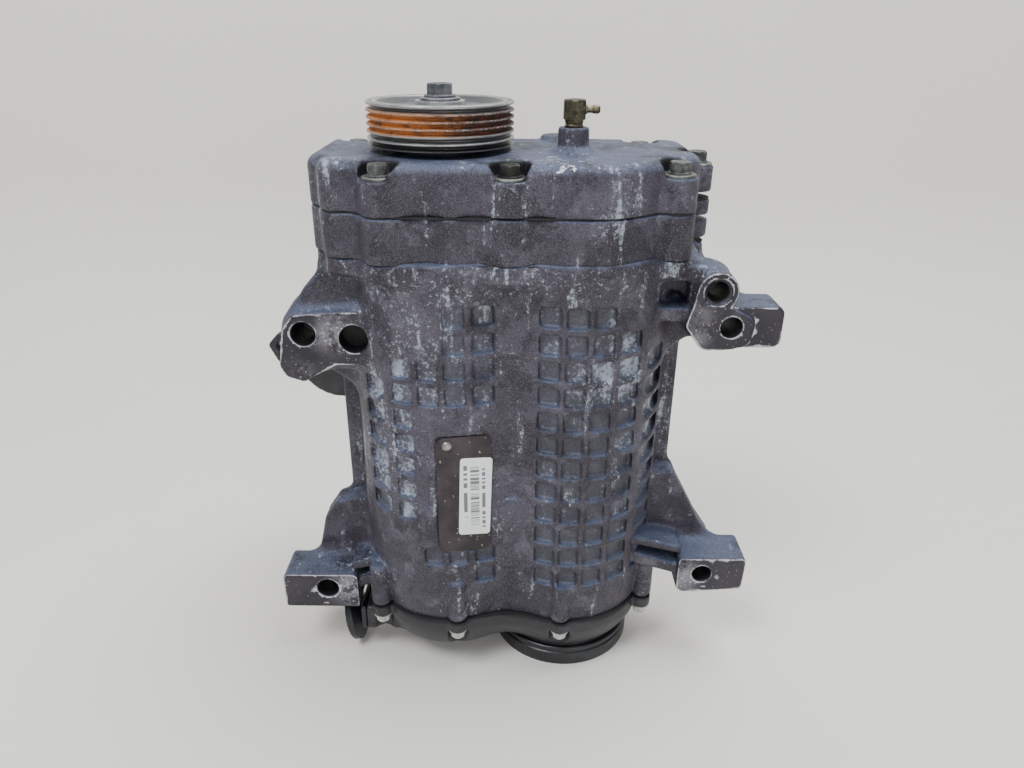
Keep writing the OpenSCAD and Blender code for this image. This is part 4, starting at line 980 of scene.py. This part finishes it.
pulley_profile = inside + dished + rim + ribs + [(PULLEY_R, PULLEY_LOW)]
pulley_steel, shader, add, link = paint("pulley_steel", 0.4, 0.75)
where = add("TexCoord").outputs["Object"]
parts = add("SeparateXYZ", {0: where}).outputs
height = times(add, parts["Z"], 1000)
from_axis = calc(add, "SUBTRACT", times(add, parts["X"], 1000), MALE_X)
squares = plus(add, calc(add, "POWER", from_axis, 2), calc(add, "POWER", times(add, parts["Y"], 1000), 2))
radius = calc(add, "POWER", squares, 0.5)
# Streaks that run round the pulley
swirl = add("CombineXYZ", {0: calc(add, "ARCTAN2", parts["Y"], calc(add, "DIVIDE", from_axis, 1000)),
                           1: times(add, height, 0.9), 2: 0.0}).outputs[0]
streak = noise_of(add, swirl, 4.2, 6, 0.72)
fine = noise_of(add, where, 900, 4, 0.7)
blotch = noise_of(add, where, 130, 5, 0.7)
bare = mixed(add, ramp_of(add, streak, 0.35, 0.65), (0.17, 0.175, 0.18), (0.48, 0.48, 0.46))
rust = mixed(add, ramp_of(add, plus(add, streak, times(add, from_axis, -0.0045)), 0.40, 0.58),
             (0.055, 0.017, 0.010), (0.50, 0.17, 0.035))
rust = washed(add, rust, (0.040, 0.022, 0.018), ramp_of(add, blotch, 0.47, 0.62), 0.75)
crest = ramp_of(add, radius, 39.2, 39.9)
rusted = times(add, ramp_of(add, height, 339.2, 341.2), ramp_of(add, height, 352.2, 350.6))
polished = times(add, crest, times(add, ramp_of(add, fine, 0.40, 0.62), 0.7))
rusted = times(add, rusted, calc(add, "SUBTRACT", 1.0, polished))
rusted = times(add, rusted, ramp_of(add, radius, 36.5, 37.2))
# Painted shade: the bare steel goes dark down in the V grooves between the ribs
groove_shade = times(add, ramp_of(add, radius, 39.4, 37.6), times(add, ramp_of(add, radius, 36.5, 37.2), 0.8))
colour = mixed(add, groove_shade, bare, (0.035, 0.034, 0.036))
colour = mixed(add, rusted, colour, rust)
# Painted shadow: streaky black at the foot of the pulley, just above the cover
foot_shade = times(add, ramp_of(add, height, 336.2, 334.4), ramp_of(add, streak, 0.30, 0.50))
colour = washed(add, colour, (0.014, 0.013, 0.014), foot_shade, 0.85)
dish = times(add, ramp_of(add, radius, 34.6, 33.6), ramp_of(add, radius, 13.4, 14.6))
colour = washed(add, colour, (0.040, 0.046, 0.058), dish, 0.85)
link(washed(add, colour, (0.45, 0.44, 0.40), ramp_of(add, fine, 0.62, 0.74), 0.35),
     shader.inputs["Base Color"])
link(add("MapRange", {"Value": rusted, "To Min": 0.75, "To Max": 0.1}).outputs["Result"],
     shader.inputs["Metallic"])
link(add("MapRange", {"Value": rusted, "To Min": 0.36, "To Max": 0.8}).outputs["Result"],
     shader.inputs["Roughness"])
roughened(add, link, shader, blotch, fine, 0.0005, 0.0002, 0.6)
pulley_piece = turned_piece("belt_pulley", pulley_profile[::-1], [AT_MALE], pulley_steel, "drive", 0.28,
                            segments=256)
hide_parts("pulley")

hub_steel = weathered_steel("hub_steel", (0.11, 0.115, 0.125), (0.27, 0.275, 0.285), 0.65, 0.42, 0.3)
washer_profile = [(4.1, 355), (11, 355), (11, 356.0), (10.4, 356.6), (4.1, 356.6)]
hub_washer = turned_piece("pulley_hub_washer", washer_profile, [AT_MALE], hub_steel, "drive", 0.35, 0, 96)
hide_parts("pulley_washer")
dull_steel = weathered_steel("dull_steel", (0.075, 0.078, 0.088), (0.19, 0.19, 0.20), 0.6, 0.5, 0.3)
(shape, flats), *rest = hex_head(357.8, 363.6, 13, 3.9, 334, (8.5, 1.2))
hub_bolt = turned_piece("pulley_centre_bolt", shape, [AT_MALE], dull_steel, "drive", 0.7, flats, 96, rest)
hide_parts("pulley_bolt")

# ---- Inside the unit ---------------------------------------------------------------------------
# Rotors, timing gears, shafts, bearings and seals keep their CAD shapes and take the finish of
# the real parts: coated rotors, ground steel, brass cages and black rubber.
rotor_grey = weathered_steel("rotor_coating", (0.20, 0.205, 0.215), (0.30, 0.305, 0.31), 0.4, 0.5, 0.05,
                             scale=200)
ground_steel = weathered_steel("ground_steel", (0.42, 0.43, 0.44), (0.58, 0.58, 0.58), 0.95, 0.25, 0.0, 300)
gear_tone = weathered_steel("gear_steel", (0.24, 0.24, 0.25), (0.38, 0.38, 0.38), 0.9, 0.32, 0.0, 300)
cage_brass = weathered_steel("cage_brass", (0.45, 0.31, 0.10), (0.62, 0.45, 0.18), 0.9, 0.3, 0.0, 300)
rubber = black_coat("seal_rubber", (0.012, 0.012, 0.012), 0.6, 0.05, 0.0001)
coat(rotor_grey, "male_rotor", "female_rotor")
coat(ground_steel, "male_shaft", "female_shaft", "input_shaft", "input_bearing_outer", "top_bearing_outers",
     "lower_bearing_outers", "drive_inner_rings", "female_inner_rings", "drive_bearing_balls",
     "female_bearing_balls")
coat(gear_tone, "male_gear", "female_gear", "male_gear_nut", "female_gear_nut", "bearing_retainer",
     "retainer_screws", "lower_bearing_caps", "cap_screws", "coupling_pins")
coat(cage_brass, "drive_bearing_cages", "female_bearing_cages")
coat(rubber, "input_seal", "rotor_seals", "coupling_bushes")
